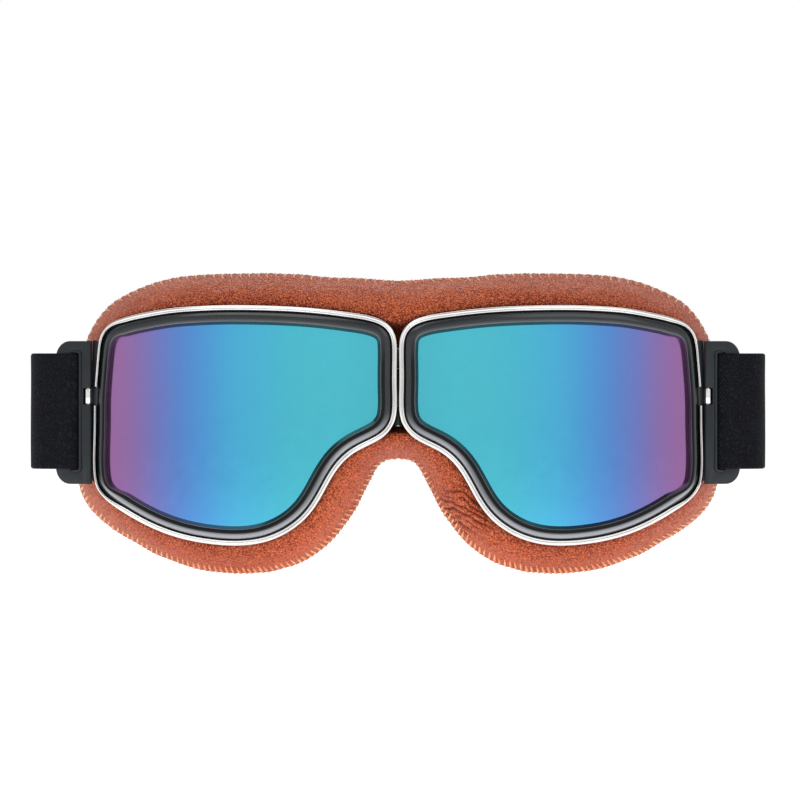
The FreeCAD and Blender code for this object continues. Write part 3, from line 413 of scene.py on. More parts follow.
def leather():
    m = Mat("tan_leather", (0.36, 0.08, 0.04), 0.5)
    m.b.inputs["Sheen Weight"].default_value = 0.0
    m.b.inputs["Sheen Roughness"].default_value = 0.5
    m.b.inputs["Sheen Tint"].default_value = (1.0, 0.78, 0.68, 1)
    m.b.inputs["Specular IOR Level"].default_value = 0.15
    crown = m.node("ShaderNodeAttribute", attribute_name="crown").outputs["Fac"]
    crease_shade = m.node("ShaderNodeAttribute", attribute_name="crease_shade").outputs["Fac"]
    # painted shade and light across the pad: darkest next to the rims, where shade falls, lightest over the crown where
    # light falls; it darkens again towards the stitched edge
    tone = m.ramp(crown, [(0.0, (0.17, 0.023, 0.011)), (0.12, (0.30, 0.042, 0.017)), (0.40, (0.51, 0.083, 0.029)), (0.70, (0.61, 0.116, 0.042)), (0.93, (0.59, 0.110, 0.039)), (1.0, (0.42, 0.070, 0.024))])
    warp = m.coords((1, 1, 1))
    blotch = m.noise(95, 4, 0.6)
    tone = m.mix(m.span(blotch, 0.35, 0.7, 0.0, 0.42), tone, (0.68, 0.160, 0.070))
    tone = m.mix(m.span(m.noise(300, 4, 0.65), 0.4, 0.62, 0.0, 0.34), tone, (0.36, 0.044, 0.013))
    pos = m.node("ShaderNodeSeparateXYZ")
    m.link(m.tc.outputs["Object"], pos.inputs[0])
    ax = m.math("ABSOLUTE", pos.outputs[0])
    # painted light: the lower middle by the nose and the middle of the top are lightened towards a pale tan
    nose_painted_light = m.math("MULTIPLY", m.span(pos.outputs[2], -0.006, -0.020, 0.0, 1.0), m.span(ax, 0.046, 0.022, 0.0, 1.0))
    top_painted_light = m.math("MULTIPLY", m.span(pos.outputs[2], 0.026, 0.034, 0.0, 1.0), m.span(ax, 0.034, 0.010, 0.0, 1.0))
    tone = m.mix(m.math("ADD", m.math("MULTIPLY", nose_painted_light, 0.52), m.math("MULTIPLY", top_painted_light, 0.42)), tone, (0.86, 0.185, 0.080))
    cells = m.voronoi(1500, vec=warp)
    cells2 = m.voronoi(820, vec=warp)
    pore = m.span(cells, 0.0, 0.16, 1.0, 0.0)
    speck = m.noise(1750, 3, 0.72)
    tone = m.mix(m.span(speck, 0.505, 0.575, 0.0, 0.74), tone, (0.94, 0.265, 0.105))
    tone = m.mix(m.span(speck, 0.495, 0.41, 0.0, 0.86), tone, (0.17, 0.016, 0.005))
    tone = m.mix(m.math("MULTIPLY", pore, 0.5), tone, (0.17, 0.022, 0.010))
    # painted shade: the leather is darkened almost to black-brown in the folds of the creases
    tone = m.mix(m.math("MULTIPLY", crease_shade, 0.92), tone, (0.11, 0.011, 0.005))
    grain = m.math("ADD", m.span(cells, 0.0, 0.25, 0.0, 1.0), m.math("MULTIPLY", m.span(cells2, 0.0, 0.2, 0.0, 1.0), 0.8))
    n1 = m.bump(m.noise(420, 4, 0.6), 0.5, 0.00025)
    n2 = m.bump(grain, 1.0, 0.00018, n1)
    n3 = m.bump(m.noise(5200, 2), 0.25, 0.00003, n2)
    m.set(Base_Color=tone, Roughness=m.span(m.noise(700, 3), 0.3, 0.7, 0.42, 0.6), Normal=n3)
    return m.m


def thread():
    m = Mat("waxed_thread", (0.62, 0.27, 0.12), 0.6)
    m.b.inputs["Sheen Weight"].default_value = 0.05
    w = m.node("ShaderNodeTexWave", wave_type="BANDS", bands_direction="DIAGONAL")
    w.inputs["Scale"].default_value = 900
    w.inputs["Distortion"].default_value = 1.0
    m.link(m.tc.outputs["Object"], w.inputs["Vector"])
    c = m.ramp(m.noise(420, 3), [(0.32, (0.58, 0.19, 0.065)), (0.5, (0.86, 0.40, 0.17)), (0.68, (0.96, 0.62, 0.36))])
    m.set(Base_Color=m.mix(m.span(w.outputs["Fac"], 0.0, 1.0, 0.0, 0.35), c, (0.42, 0.14, 0.06)), Normal=m.bump(w.outputs["Fac"], 0.5, 0.00008))
    return m.m


def lining():
    m = Mat("brushed_lining", (0.028, 0.027, 0.03), 0.92)
    m.b.inputs["Sheen Weight"].default_value = 0.5
    m.b.inputs["Sheen Roughness"].default_value = 0.45
    fuzz = m.noise(3800, 3, 0.7)
    m.set(Base_Color=m.ramp(m.noise(260, 4, 0.65), [(0.3, (0.018, 0.017, 0.019)), (0.7, (0.046, 0.044, 0.05))]),
          Normal=m.bump(fuzz, 0.6, 0.00018, m.bump(m.noise(340, 3), 0.4, 0.0004)))
    return m.m


def webbing():
    m = Mat("woven_elastic", (0.006, 0.0065, 0.010), 0.8)
    m.b.inputs["Specular IOR Level"].default_value = 0.10
    m.b.inputs["Sheen Weight"].default_value = 0.012
    m.b.inputs["Sheen Roughness"].default_value = 0.4
    uv = m.node("ShaderNodeUVMap", uv_map="along").outputs["UV"]
    sep = m.node("ShaderNodeSeparateXYZ")
    m.link(uv, sep.inputs[0])
    u, v = sep.outputs[0], sep.outputs[1]  # millimetres along and across
    # rows of knitted ribs run along the band; the weft crosses them in a plain weave
    rib = m.math("SINE", m.math("MULTIPLY", v, 2 * math.pi / 1.35))
    weft = m.math("SINE", m.math("ADD", m.math("MULTIPLY", u, 2 * math.pi / 0.82), m.math("MULTIPLY", m.math("SIGN", rib), math.pi / 2)))
    weave = m.math("MULTIPLY", m.math("ABSOLUTE", rib), m.math("ADD", m.math("MULTIPLY", weft, 0.5), 0.5))
    fray = m.noise(2400, 3, 0.7)
    height = m.math("ADD", m.math("MULTIPLY", weave, 0.8), m.math("MULTIPLY", fray, 0.5))
    tone = m.ramp(weave, [(0.0, (0.0006, 0.0006, 0.0014)), (0.45, (0.0022, 0.0026, 0.0050)), (1.0, (0.009, 0.010, 0.015))])
    tone = m.mix(m.span(m.noise(150, 4), 0.35, 0.7, 0.0, 0.5), tone, (0.005, 0.006, 0.009))
    tone = m.mix(m.span(m.noise(1300, 3, 0.7), 0.52, 0.66, 0.0, 0.5), tone, (0.022, 0.023, 0.030))
    tone = m.mix(m.span(m.noise(1100, 3, 0.7), 0.46, 0.34, 0.0, 0.7), tone, (0.0015, 0.0015, 0.003))
    m.set(Base_Color=tone, Roughness=m.span(fray, 0.3, 0.7, 0.68, 0.88), Normal=m.bump(height, 0.7, 0.00022))
    return m.m


def foam_mat():
    m = Mat("open_foam", (0.035, 0.035, 0.038), 0.95)
    v = m.voronoi(1100, "F1")
    m.set(Base_Color=m.ramp(v, [(0.1, (0.012, 0.012, 0.014)), (0.6, (0.05, 0.05, 0.055))]), Normal=m.bump(v, 0.8, 0.0005))
    return m.m


def gloss_frame_painted_light(inner=False):
    """Gloss black moulding, with a painted reflection on the shoulders that lean downward: light grey and metallic
    there.
    """
    m = Mat("gloss_frame_painted_light", (0.005, 0.0075, 0.010), 0.2)
    m.b.inputs["Specular IOR Level"].default_value = 0.38
    m.b.inputs["Coat Weight"].default_value = 0.42
    m.b.inputs["Coat Roughness"].default_value = 0.12
    g = m.node("ShaderNodeNewGeometry")
    sp = m.node("ShaderNodeSeparateXYZ")
    m.link(g.outputs["Normal"], sp.inputs[0])
    so_ = m.node("ShaderNodeSeparateXYZ")
    m.link(m.tc.outputs["Object"], so_.inputs[0])
    # painted floor reflection: faces whose normals lean downward are painted light grey and made metallic, more
    # strongly lower on the frame
    painted_floor_reflection = m.math("MULTIPLY", m.span(sp.outputs[2], -0.05, -0.30, 0.0, 1.0), m.span(so_.outputs[2], 0.004, -0.010, 0.35, 1.0))
    base = m.ramp(m.noise(70, 3), [(0.35, (0.0040, 0.0062, 0.0082)), (0.65, (0.0062, 0.0090, 0.0120))])
    m.set(Base_Color=m.mix(painted_floor_reflection, base, (0.30, 0.31, 0.33)), Metallic=m.math("MULTIPLY", painted_floor_reflection, 0.9), Roughness=m.span(m.noise(240, 5, 0.6), 0.3, 0.7, 0.16, 0.26),
          Normal=m.bump(m.noise(1500, 3), 0.35, 0.00002))
    if inner:
        # painted shade: the inner band is painted near black, with less gloss and coat, up to about 63 mm high, fading
        # out by 72 mm; above that its downward-leaning faces carry a dimmer painted reflection
        low = m.span(so_.outputs[2], 0.016, 0.025, 1.0, 0.0)
        m.set(Base_Color=m.mix(low, m.mix(painted_floor_reflection, base, (0.12, 0.125, 0.13)), (0.0010, 0.0014, 0.0020)), Metallic=m.span(low, 0.0, 1.0, 0.10, 0.0),
              Specular_IOR_Level=m.span(low, 0.0, 1.0, 0.38, 0.14), Coat_Weight=m.span(low, 0.0, 1.0, 0.42, 0.16))
    return m.m


M_CHROME = chrome()
# front frame face: gloss black with a painted floor reflection on its downward-leaning shoulders
M_BEZEL_PAINTED_REFLECTION = gloss_frame_painted_light()
# inner band of the frame face: painted shade low on the frame, painted reflection above
M_INNER_SHADE_AND_REFLECTION = gloss_frame_painted_light(inner=True)
# the fine raised edge by the lens is painted lighter grey: a painted highlight
M_EDGE_HIGHLIGHT = moulded("frame_edge_painted_highlight", (0.10, 0.105, 0.115), 0.16, 0.26, 1500, 0.00002, coat=0.6)
# near black and low gloss for the step behind the rim and for the lens seat: painted shade
M_RECESS_SHADE = moulded("frame_recess_painted_shade", (0.002, 0.002, 0.003), 0.35, 0.5, 1800, 0.00003, gloss=0.1)
M_LIP = moulded("frame_lip", (0.004, 0.005, 0.006), 0.16, 0.26, 1500, 0.00002, coat=0.35, gloss=0.35)
M_LENS = lens_mirror()
M_REAR = moulded("matt_frame", (0.014, 0.014, 0.016), 0.5, 0.66, 3000, 0.00006)
M_RUBBER = moulded("gasket_rubber", (0.010, 0.010, 0.011), 0.6, 0.8, 2200, 0.00005)
M_BLACKSTEEL = moulded("blackened_steel", (0.030, 0.031, 0.034), 0.28, 0.44, 1900, 0.00003, metallic=0.75)
M_STEEL = moulded("plain_steel", (0.56, 0.56, 0.57), 0.22, 0.36, 2400, 0.00003, metallic=1.0)
M_PLATE = moulded("satin_plate", (0.0048, 0.0085, 0.0115), 0.36, 0.5, 2600, 0.00004, gloss=0.36)
M_GLIDE = moulded("adjuster_plastic", (0.007, 0.008, 0.009), 0.3, 0.42, 2200, 0.00004)
M_LEATHER = leather()
M_THREAD = thread()
M_LINING = lining()
M_WEB = webbing()
M_FOAM = foam_mat()

# ------------------------------------------------------------------ rings swept round the lens frame
NA = 480
ANG = np.sort(polar_of(periodic_spline(RIM_LINE, NA))[0])


def sweep(name, profile, mats, side, mat_of=None, keep=None, sharp=32):
    """profile: closed list of (inset, depth), either may be an array over the angles. keep: mask of angles, for an open ring."""
    dirs = direction(ANG)
    cols = []
    for inset, depth in profile:
        r = ring(ANG, np.broadcast_to(np.asarray(inset, float), ANG.shape))
        p = CENTRE + dirs * r[:, None]
        cols.append(on_drum(p[:, 0], p[:, 1], depth))
    grid = np.stack(cols, 1)  # angle, profile, xyz
    n, k = grid.shape[:2]
    idx = np.arange(n * k).reshape(n, k)
    rows = range(n)
    faces, fm = [], []
    if keep is not None:
        # start just after the opening, so that the kept run is contiguous
        start = next(i for i in range(n) if keep[i] and not keep[i - 1])
        order = [(start + j) % n for j in range(n) if keep[(start + j) % n]]
        pairs = list(zip(order, order[1:]))
    else:
        pairs = [(i, (i + 1) % n) for i in rows]
    for a, b in pairs:
        for j in range(k):
            j2 = (j + 1) % k
            faces.append((idx[a, j], idx[b, j], idx[b, j2], idx[a, j2]))
            fm.append(mat_of[j] if mat_of else 0)
    if keep is not None:
        faces.append(tuple(idx[order[0], ::-1]))
        faces.append(tuple(idx[order[-1], :]))
        fm += [0, 0]
    faces = [tuple(int(v) for v in f) for f in faces]
    verts = grid.reshape(-1, 3)
    used = sorted({v for f in faces for v in f})
    remap = {v: i for i, v in enumerate(used)}
    faces = [tuple(remap[v] for v in f) for f in faces]
    ob = make(name, verts[used], faces, mats, fm, sharp=None, flip=(side == "left"))
    orient(ob)
    ob.data.set_sharp_from_angle(angle=math.radians(sharp))
    return ob


# Rim section across, as parts of its half width, with its depth: a rounded bead, a fine groove and a low inner step
RIM_TOP = [(-1.0, 0.30), (-0.97, 0.08), (-0.88, -0.10), (-0.72, -0.22), (-0.52, -0.29), (-0.30, -0.31), (-0.08, -0.27), (0.10, -0.17), (0.22, -0.02), (0.27, 0.12), (0.34, 0.12),
           (0.38, 0.01), (0.46, -0.07), (0.62, -0.10), (0.80, -0.05), (0.94, 0.10), (1.0, 0.35)]


def smooth_step(a, lo, hi):
    t = np.clip((a - lo) / (hi - lo), 0, 1)
    return t * t * (3 - 2 * t)


rim_angle_h = CENTRE[1] + np.sin(np.radians(ANG)) * base_radius(ANG)
rim_angle_x = CENTRE[0] + np.cos(np.radians(ANG)) * base_radius(ANG)
temple = np.clip((rim_angle_x - 82.0) / 7.0, 0, 1)
temple = temple * temple * (3 - 2 * temple)
rim_w = 0.74 - 0.36 * temple
rim_c = -0.42 * temple
window = smooth_step(rim_angle_x, 85.0, 90.6)
slim = 1 - 0.35 * window
lug = temple * smooth_step(rim_angle_h, 27.0, 28.4) * (1 - smooth_step(rim_angle_h, 68.6, 69.8))

for side in ("right", "left"):
    unit = side + "_lens_unit"
    # chrome rim, open at the temple where the clip passes
    prof = [(c * rim_w + rim_c, d) for c, d in RIM_TOP] + [(0.98 * rim_w + rim_c, 1.2), (0.80 * rim_w + rim_c, 1.62), (-0.80 * rim_w + rim_c, 1.62), (-0.98 * rim_w + rim_c, 1.2)]
    gap = (rim_angle_x > 80) & (np.abs(rim_angle_h - 53.25) < 2.35)
    rim = sweep("chrome_rim_" + side, prof, [M_CHROME], side, keep=~gap, sharp=50)
    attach(rim, unit)
    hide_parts("rim_" + side)
    # front frame: step for the rim (near black, low gloss: painted shade), rounded face, fine raised edge (lighter
    # grey: painted highlight), dark inner wall, lens seat (near black, low gloss: painted shade)
    flange = 0.10 - np.maximum(92.53 - rim_angle_x, 0.0) * lug - 0.3 * temple * (1 - lug)
    face = [
        (0.10, 8.0), (0.10, 4.2), (0.10 + 0.6 * (flange - 0.10), 3.7), (flange, 2.3), (flange, 1.74), (0.12 - 0.4 * temple, 1.72), (0.79 - 0.55 * temple, 1.70), (0.80 - 0.55 * temple, 1.0), (1.08 - 0.5 * temple, 0.98), (1.14 - 0.45 * temple, 0.80),
        (1.26, 0.60), (1.48, 0.43), (1.80, 0.28), (2.15, 0.15), (2.5, 0.05), (2.85, 0.0), (3.2, 0.0), (3.55, 0.03), (3.82, 0.08), (3.98, 0.15),
        (4.12, 0.25), (4.22, 0.42), (4.42, 0.80), (4.72, 1.35), (5.03, 1.94), (4.15, 1.97), (4.10, 4.5), (4.10, 8.0),
    ]
    face = face[:10] + [(c * slim, d) for c, d in face[10:]]
    mo = [0] * len(face)
    # the step behind the rim and the lens seat: painted shade
    for j in (7, 8, 24, 25, 26, 27):
        mo[j] = 2
    for j in (20, 21, 22, 23):
        mo[j] = 3
    # face 19, the fine raised edge: lighter grey, a painted highlight
    mo[19] = 1
    for j in (1, 2, 3, 4):
        mo[j] = 4
    # faces 15 to 18, the inner band of the face: painted shade low on the frame, painted reflection above
    for j in (15, 16, 17, 18):
        mo[j] = 5
    bez = sweep("front_frame_face_" + side, face, [M_BEZEL_PAINTED_REFLECTION, M_EDGE_HIGHLIGHT, M_RECESS_SHADE, M_LIP, M_PLATE, M_INNER_SHADE_AND_REFLECTION], side, mo, sharp=35)
    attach(bez, unit)
    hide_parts("front_frame_" + side)

    # mirrored lens: a domed sheet with real thickness
    rr = ring(ANG, 4.2 - 1.45 * window)
    dirs = direction(ANG)
    fr = [0.12, 0.24, 0.36, 0.48, 0.6, 0.7, 0.8, 0.88, 0.94, 0.98, 0.995, 1.0]
    verts, faces = [], []
    for layer, dep in ((0, 2.02), (1, 4.38)):
        verts.append(on_drum(CENTRE[0], CENTRE[1], dep).reshape(1, 3))
        for f in fr:
            p = CENTRE + dirs * (rr * f)[:, None]
            d = dep + (0.12 * (1 if layer == 0 else -1) if f == 1.0 else 0)
            verts.append(on_drum(p[:, 0], p[:, 1], d))
    verts = np.vstack(verts)
    per = 1 + len(fr) * NA
    for layer in (0, 1):
        o = layer * per
        for i in range(NA):
            i2 = (i + 1) % NA
            tri = (o, o + 1 + i2, o + 1 + i)
            faces.append(tri if layer == 0 else tri[::-1])
            for k in range(len(fr) - 1):
                a, b = o + 1 + k * NA + i, o + 1 + k * NA + i2
                q = (a, b, b + NA, a + NA)
                faces.append(q if layer == 0 else q[::-1])
    e0, e1 = 1 + (len(fr) - 1) * NA, per + 1 + (len(fr) - 1) * NA
    for i in range(NA):
        i2 = (i + 1) % NA
        faces.append((e0 + i, e0 + i2, e1 + i2, e1 + i))
    lens = make("mirror_lens_" + side, verts, faces, [M_LENS], flip=(side == "left"))
    orient(lens)
    lens.data.shade_smooth()
    # the drum's own normals, so that the mirror is perfectly even
    vn = verts * np.array([-1.0 if side == "left" else 1.0, 1.0, 1.0])
    nn = np.stack([vn[:, 0], vn[:, 1] - (R - FD), np.zeros(len(vn))], 1)
    nn /= np.linalg.norm(nn, axis=1, keepdims=True)
    nn[per:] *= -1
    rimv = np.concatenate([np.arange(e0, e0 + NA), np.arange(e1, e1 + NA)])
    side_faces = {i for i, q in enumerate(lens.data.polygons) if (q.vertices[0] < per) != (q.vertices[2 % len(q.vertices)] < per) or (q.vertices[0] < per) != (q.vertices[1] < per)}
    loops = [None] * len(lens.data.loops)
    for q in lens.data.polygons:
        for li in q.loop_indices:
            loops[li] = tuple(q.normal) if q.index in side_faces else tuple(nn[lens.data.loops[li].vertex_index])
    lens.data.normals_split_custom_set(loops)
    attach(lens, unit)
    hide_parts("lens_" + side)

# ------------------------------------------------------------------ leather seal
NP = 960
PA = -180 + 0.375 * np.arange(NP)
for end in (REACH[0, 0], REACH[-1, 0]):
    PA[np.argmin(np.abs(PA - end))] = end
IN_REACH = (PA >= REACH[0, 0] - 1e-6) & (PA <= REACH[-1, 0] + 1e-6)


def smooth_table(table, q):
    """Catmull-Rom through the table."""
    x, y = table[:, 0], table[:, 1]
    m = np.gradient(y, x)
    i = np.clip(np.searchsorted(x, q) - 1, 0, len(x) - 2)
    h = x[i + 1] - x[i]
    t = np.clip((q - x[i]) / h, 0, 1)
    return (2 * t**3 - 3 * t**2 + 1) * y[i] + (t**3 - 2 * t**2 + t) * h * m[i] + (-2 * t**3 + 3 * t**2) * y[i + 1] + (t**3 - t**2) * h * m[i + 1]


def outer_edge():
    r = np.where(IN_REACH, smooth_table(REACH, np.clip(PA, REACH[0, 0], REACH[-1, 0])), CENTRE[0] / np.maximum(np.abs(np.cos(np.radians(PA))), 0.05))
    r = r - 1.35 * np.exp(-((PA - 29.0) / 11.0) ** 2)
    p = CENTRE + direction(PA) * r[:, None]
    x = np.where(IN_REACH, np.maximum(p[:, 0] * GROW, 0.0), 0.0)
    h = MID_H + (p[:, 1] - MID_H) * GROW
    h = h - 1.0 * smooth_step(h, 62.0, 82.0) + 0.3 * (1 - smooth_step(h, 14.0, 30.0))
    return x, h


EX, EHH = outer_edge()
first, last = np.argmin(np.abs(PA - REACH[0, 0])), np.argmin(np.abs(PA - REACH[-1, 0]))
EX[first] = EX[last] = 0.0
OUTER = np.arange(first, last + 1)  # indices whose edge is the stitched one
# the edge leaves the middle square to it, so the two halves meet in a smooth line
for k in range(1, 26):
    w = (1 - k / 26.0) ** 2
    j = last - k
    w *= 1 - float(smooth_step(abs(EHH[j] - EHH[last]), 0.8, 3.0))
    EHH[j] = EHH[j] * (1 - w) + EHH[last] * w
# the arch over the nose is a round one, and runs on into the lobes
ARCH = 31
for k in range(ARCH, 64):
    EX[first + k] += 0.5 * (1 - float(smooth_step(k, ARCH, 62)))
p0, p1 = np.array([0.0, EHH[first] + 0.25]), np.array([EX[first + ARCH], EHH[first + ARCH]])
m1 = np.array([EX[first + ARCH + 2] - p1[0], EHH[first + ARCH + 2] - p1[1]])
m0, m1 = np.array([18.0, 0.0]), 18.0 * m1 / np.linalg.norm(m1)
for k in range(ARCH):
    t = k / ARCH
    q = (2 * t**3 - 3 * t**2 + 1) * p0 + (t**3 - 2 * t**2 + t) * m0 + (3 * t**2 - 2 * t**3) * p1 + (t**3 - t**2) * m1
    EX[first + k], EHH[first + k] = max(q[0], 0.0), q[1]
seg = np.hypot(np.diff(EX[OUTER]), np.diff(EHH[OUTER]))
ARC = np.zeros(NP)
ARC[OUTER] = np.concatenate([[0], np.cumsum(seg)])
# the whip stitches are wider apart along the top than along the bottom
LOCAL_PITCH = 1.75 + 1.0 * np.clip((EHH - 40.0) / 30.0, 0, 1)
TURNS = np.zeros(NP)
TURNS[OUTER] = np.concatenate([[0], np.cumsum(seg / (0.5 * (LOCAL_PITCH[OUTER][1:] + LOCAL_PITCH[OUTER][:-1])))])
n_st = int(round(TURNS[last]))
TURNS *= n_st / TURNS[last]
wr = ring(PA, -0.12)
WX, WH = CENTRE[0] + np.cos(np.radians(PA)) * wr, CENTRE[1] + np.sin(np.radians(PA)) * wr
ir = ring(PA, 6.1)
IX, IH = CENTRE[0] + np.cos(np.radians(PA)) * ir, CENTRE[1] + np.sin(np.radians(PA)) * ir


def smooth01(a, lo, hi):
    t = np.clip((a - lo) / (hi - lo), 0, 1)
    return t * t * (3 - 2 * t)


# how much a section lies in the hinge's stretch, where the cover has to pass behind the barrel
near_mid = ~IN_REACH
IN_HINGE = np.where(near_mid, smooth01(EHH, HINGE_Z0 - 4.6, HINGE_Z0 - 2.0) * (1 - smooth01(EHH, HINGE_Z1 + 2.0, HINGE_Z1 + 4.6)), 0.0)


def fbm(p, octaves=3):
    return noise.fractal(Vector(p), 1.0, 2.0, octaves, noise_basis="PERLIN_NEW")


EDGE_LINE = np.column_stack([EX[OUTER], EHH[OUTER]])[::3]


def dist_to(points, line, closed):
    a = line if closed else line[:-1]
    b = np.roll(line, -1, axis=0) if closed else line[1:]
    ab = b - a
    ll = np.maximum((ab ** 2).sum(1), 1e-9)
    out = np.empty(len(points))
    for k in range(0, len(points), 2000):
        q = points[k:k + 2000, None, :]
        t = np.clip(((q - a) * ab).sum(2) / ll, 0, 1)
        out[k:k + 2000] = np.sqrt((((q - (a + t[..., None] * ab)) ** 2).sum(2)).min(1))
    return out


def skin(x, h, arc_turns):
    """Depth of the leather's front skin, from how far a point lies from the rims and from the stitched edge."""
    q = np.column_stack([x, h])
    m = np.column_stack([-x, h])
    near_rim = LINE[::2]
    d1, d2 = dist_to(q, near_rim, True), dist_to(m, near_rim, True)
    hh = np.maximum(4.0 - np.abs(d1 - d2), 0)
    d = np.maximum(np.minimum(d1, d2) - hh * hh / 16.0, 0)
    e = np.minimum(dist_to(q, EDGE_LINE, False), dist_to(m, EDGE_LINE, False))
    span = d + e
    u = d / np.maximum(span, 1e-6)
    full = np.minimum(span, 12.0) / 12.0
    yw = drum_y(x, 6.2)
    ye = seal_y(x) - 1.25
    roll = 0.30 * u + 0.70 * (1 - np.sqrt(np.maximum(1 - (0.975 * u) ** 2, 0))) / (1 - math.sqrt(1 - 0.975 ** 2))
    y = yw + (ye - yw) * roll
    y -= 1.5 * full * np.sin(math.pi * np.minimum(u / 0.9, 1.0)) ** 0.9
    y += 1.3 * np.exp(-(d / 0.9) ** 2)
    y += 0.42 * full * np.exp(-((e - 1.7) / 0.75) ** 2)
    y -= 0.20 * np.cos(2 * math.pi * arc_turns) * np.exp(-(e / 1.3) ** 2)
    # behind the bridge hinge the skin drops back to clear the barrel
    y -= 2.6 * np.exp(-((h - 40.6) / 2.8) ** 2) * np.exp(-(x / 4.2) ** 2) * smooth01(d, 0.05, 0.9)
    w = smooth01(h, 42.2, 44.4) * (1 - smooth01(h, 68.6, 76.0)) * (1 - smooth01(x, 8.5, 12.5))
    valley = HINGE_Y + 3.0
    y = np.where(valley > y, y + (valley - y) * w, y)
    return y, u, d, e


def fbm_grid(p, scale, shift, octaves):
    return np.array([noise.fractal((a * scale + shift, b * scale, c * scale + shift * 0.7), 1.0, 2.0, octaves, noise_basis="PERLIN_NEW") for a, b, c in p])


U_COVER = np.concatenate([[0.0, 0.012, 0.03, 0.06], np.linspace(0.09, 0.88, 27), [0.915, 0.945, 0.97, 0.988, 1.0]])


def cover_front(side):
    """Front skin of the seal on one side: grid of points (angles x across), the crown values, and the fold depth that
    paints shade into the creases.
    """
    s = 1 if side == "right" else -1
    K = len(U_COVER)
    x = WX[:, None] + (EX - WX)[:, None] * U_COVER
    h = WH[:, None] + (EHH - WH)[:, None] * U_COVER
    # the leather bulges between one stitch and the next
    span0 = np.maximum(np.hypot(EX - WX, EHH - WH), 1e-6)
    ox, oh = (EX - WX) / span0, (EHH - WH) / span0
    wave = np.cos(2 * math.pi * TURNS) * IN_REACH * smooth01(EX, 0.0, 2.0)
    bulge = (0.11 + 0.05 * np.clip((EHH - 40) / 30, 0, 1)) * wave
    near = np.exp(-(((1 - U_COVER)[None, :] * span0[:, None]) / 1.2) ** 2)
    turns = np.where(IN_REACH, TURNS, 0.25)
    y, u, d, e = skin(x.ravel(), h.ravel(), np.repeat(turns, K))
    x = x + ox[:, None] * bulge[:, None] * near
    h = h + oh[:, None] * bulge[:, None] * near
    g = np.stack([x, y.reshape(x.shape), h - EH], -1)
    du = np.gradient(g, axis=0)
    dv = np.gradient(g, axis=1)
    nrm = np.cross(du, dv)
    nrm /= np.maximum(np.linalg.norm(nrm, axis=2, keepdims=True), 1e-9)
    nrm *= np.where(nrm[..., 1:2] > 0, -1, 1)
    pts = g.reshape(-1, 3) * np.array([s, 1, 1])
    X, H = pts[:, 0], pts[:, 2] + EH
    ax = np.abs(X)
    fade = smooth01(d, 0.2, 1.4) * (1 - 0.85 * smooth01(u, 0.86, 1.0))
    mid = smooth01(ax, 0.0, 3.0)
    slack = 0.42 * fbm_grid(pts, 0.085, 0.0, 3) + 0.15 * fbm_grid(pts, 0.26, 9.0, 2)

    def fold(phase, width):
        f = phase - np.floor(phase) - 0.5
        return np.exp(-(f / width) ** 2)

    n1 = fbm_grid(pts, 0.17, 3.0, 2)
    n2 = fbm_grid(pts, 0.30, 14.0, 2)
    # the inner lobe bends round the nose, so its skin gathers in slanting creases
    if s > 0:
        lobe = np.exp(-(((ax - 20.5) / 8.5) ** 2 + ((H - 19.0) / 7.0) ** 2))
        ph = (H + 0.30 * (ax - 14) + 0.014 * (ax - 14) ** 2) / 2.1 + 0.75 * n1
        amt = 0.62 * np.minimum(lobe * 1.5, 1.0) * fold(ph, 0.16) * (0.50 + 0.50 * np.tanh(3 * n2 + 1.3))
    else:
        lobe = np.exp(-(((ax - 22.0) / 7.5) ** 2 + ((H - 20.0) / 7.0) ** 2))
        ph = (H + 0.42 * (ax - 14)) / 2.6 + 0.9 * n1
        amt = 0.20 * lobe * fold(ph, 0.16) * (0.5 + 0.5 * np.tanh(3 * n2))
    # small gathers where the top passes over the bridge, and round the tight outer corners
    top = np.exp(-((ax / 14.0) ** 2)) * smooth01(H, 78.0, 84.0)
    amt = amt + 0.13 * top * fold(X / 3.6 + 1.2 * n1, 0.16)
    corner = np.exp(-(((ax - 84) / 9.0) ** 2 + ((H - 19) / 8.0) ** 2)) + 0.8 * np.exp(-(((ax - 86) / 8.0) ** 2 + ((H - 80) / 7.0) ** 2))
    amt = amt + 0.13 * corner * fold((ax - 1.2 * H) / 4.4 + 1.2 * n1, 0.15)
    arch = np.exp(-((ax / 11.0) ** 2 + ((H - 38.5) / 3.5) ** 2))
    amt = amt + 0.12 * arch * fold(X / 2.7 + 0.8 * n1, 0.17)
    move = (slack * (0.25 + 0.75 * mid) - amt * mid) * fade
    g += nrm * np.stack([mid, np.ones_like(mid), mid], -1).reshape(nrm.shape) * move.reshape(x.shape)[..., None]
    g[:, :, 0] = np.maximum(g[:, :, 0], 0.0)
    g[near_mid, -1, 0] = 0.0
    g[first, -1, 0] = g[last, -1, 0] = 0.0
    # the last value is the fold depth, used to paint shade in the creases
    return g, u.reshape(x.shape), np.clip(amt * fade * 2.4, 0, 1).reshape(x.shape)


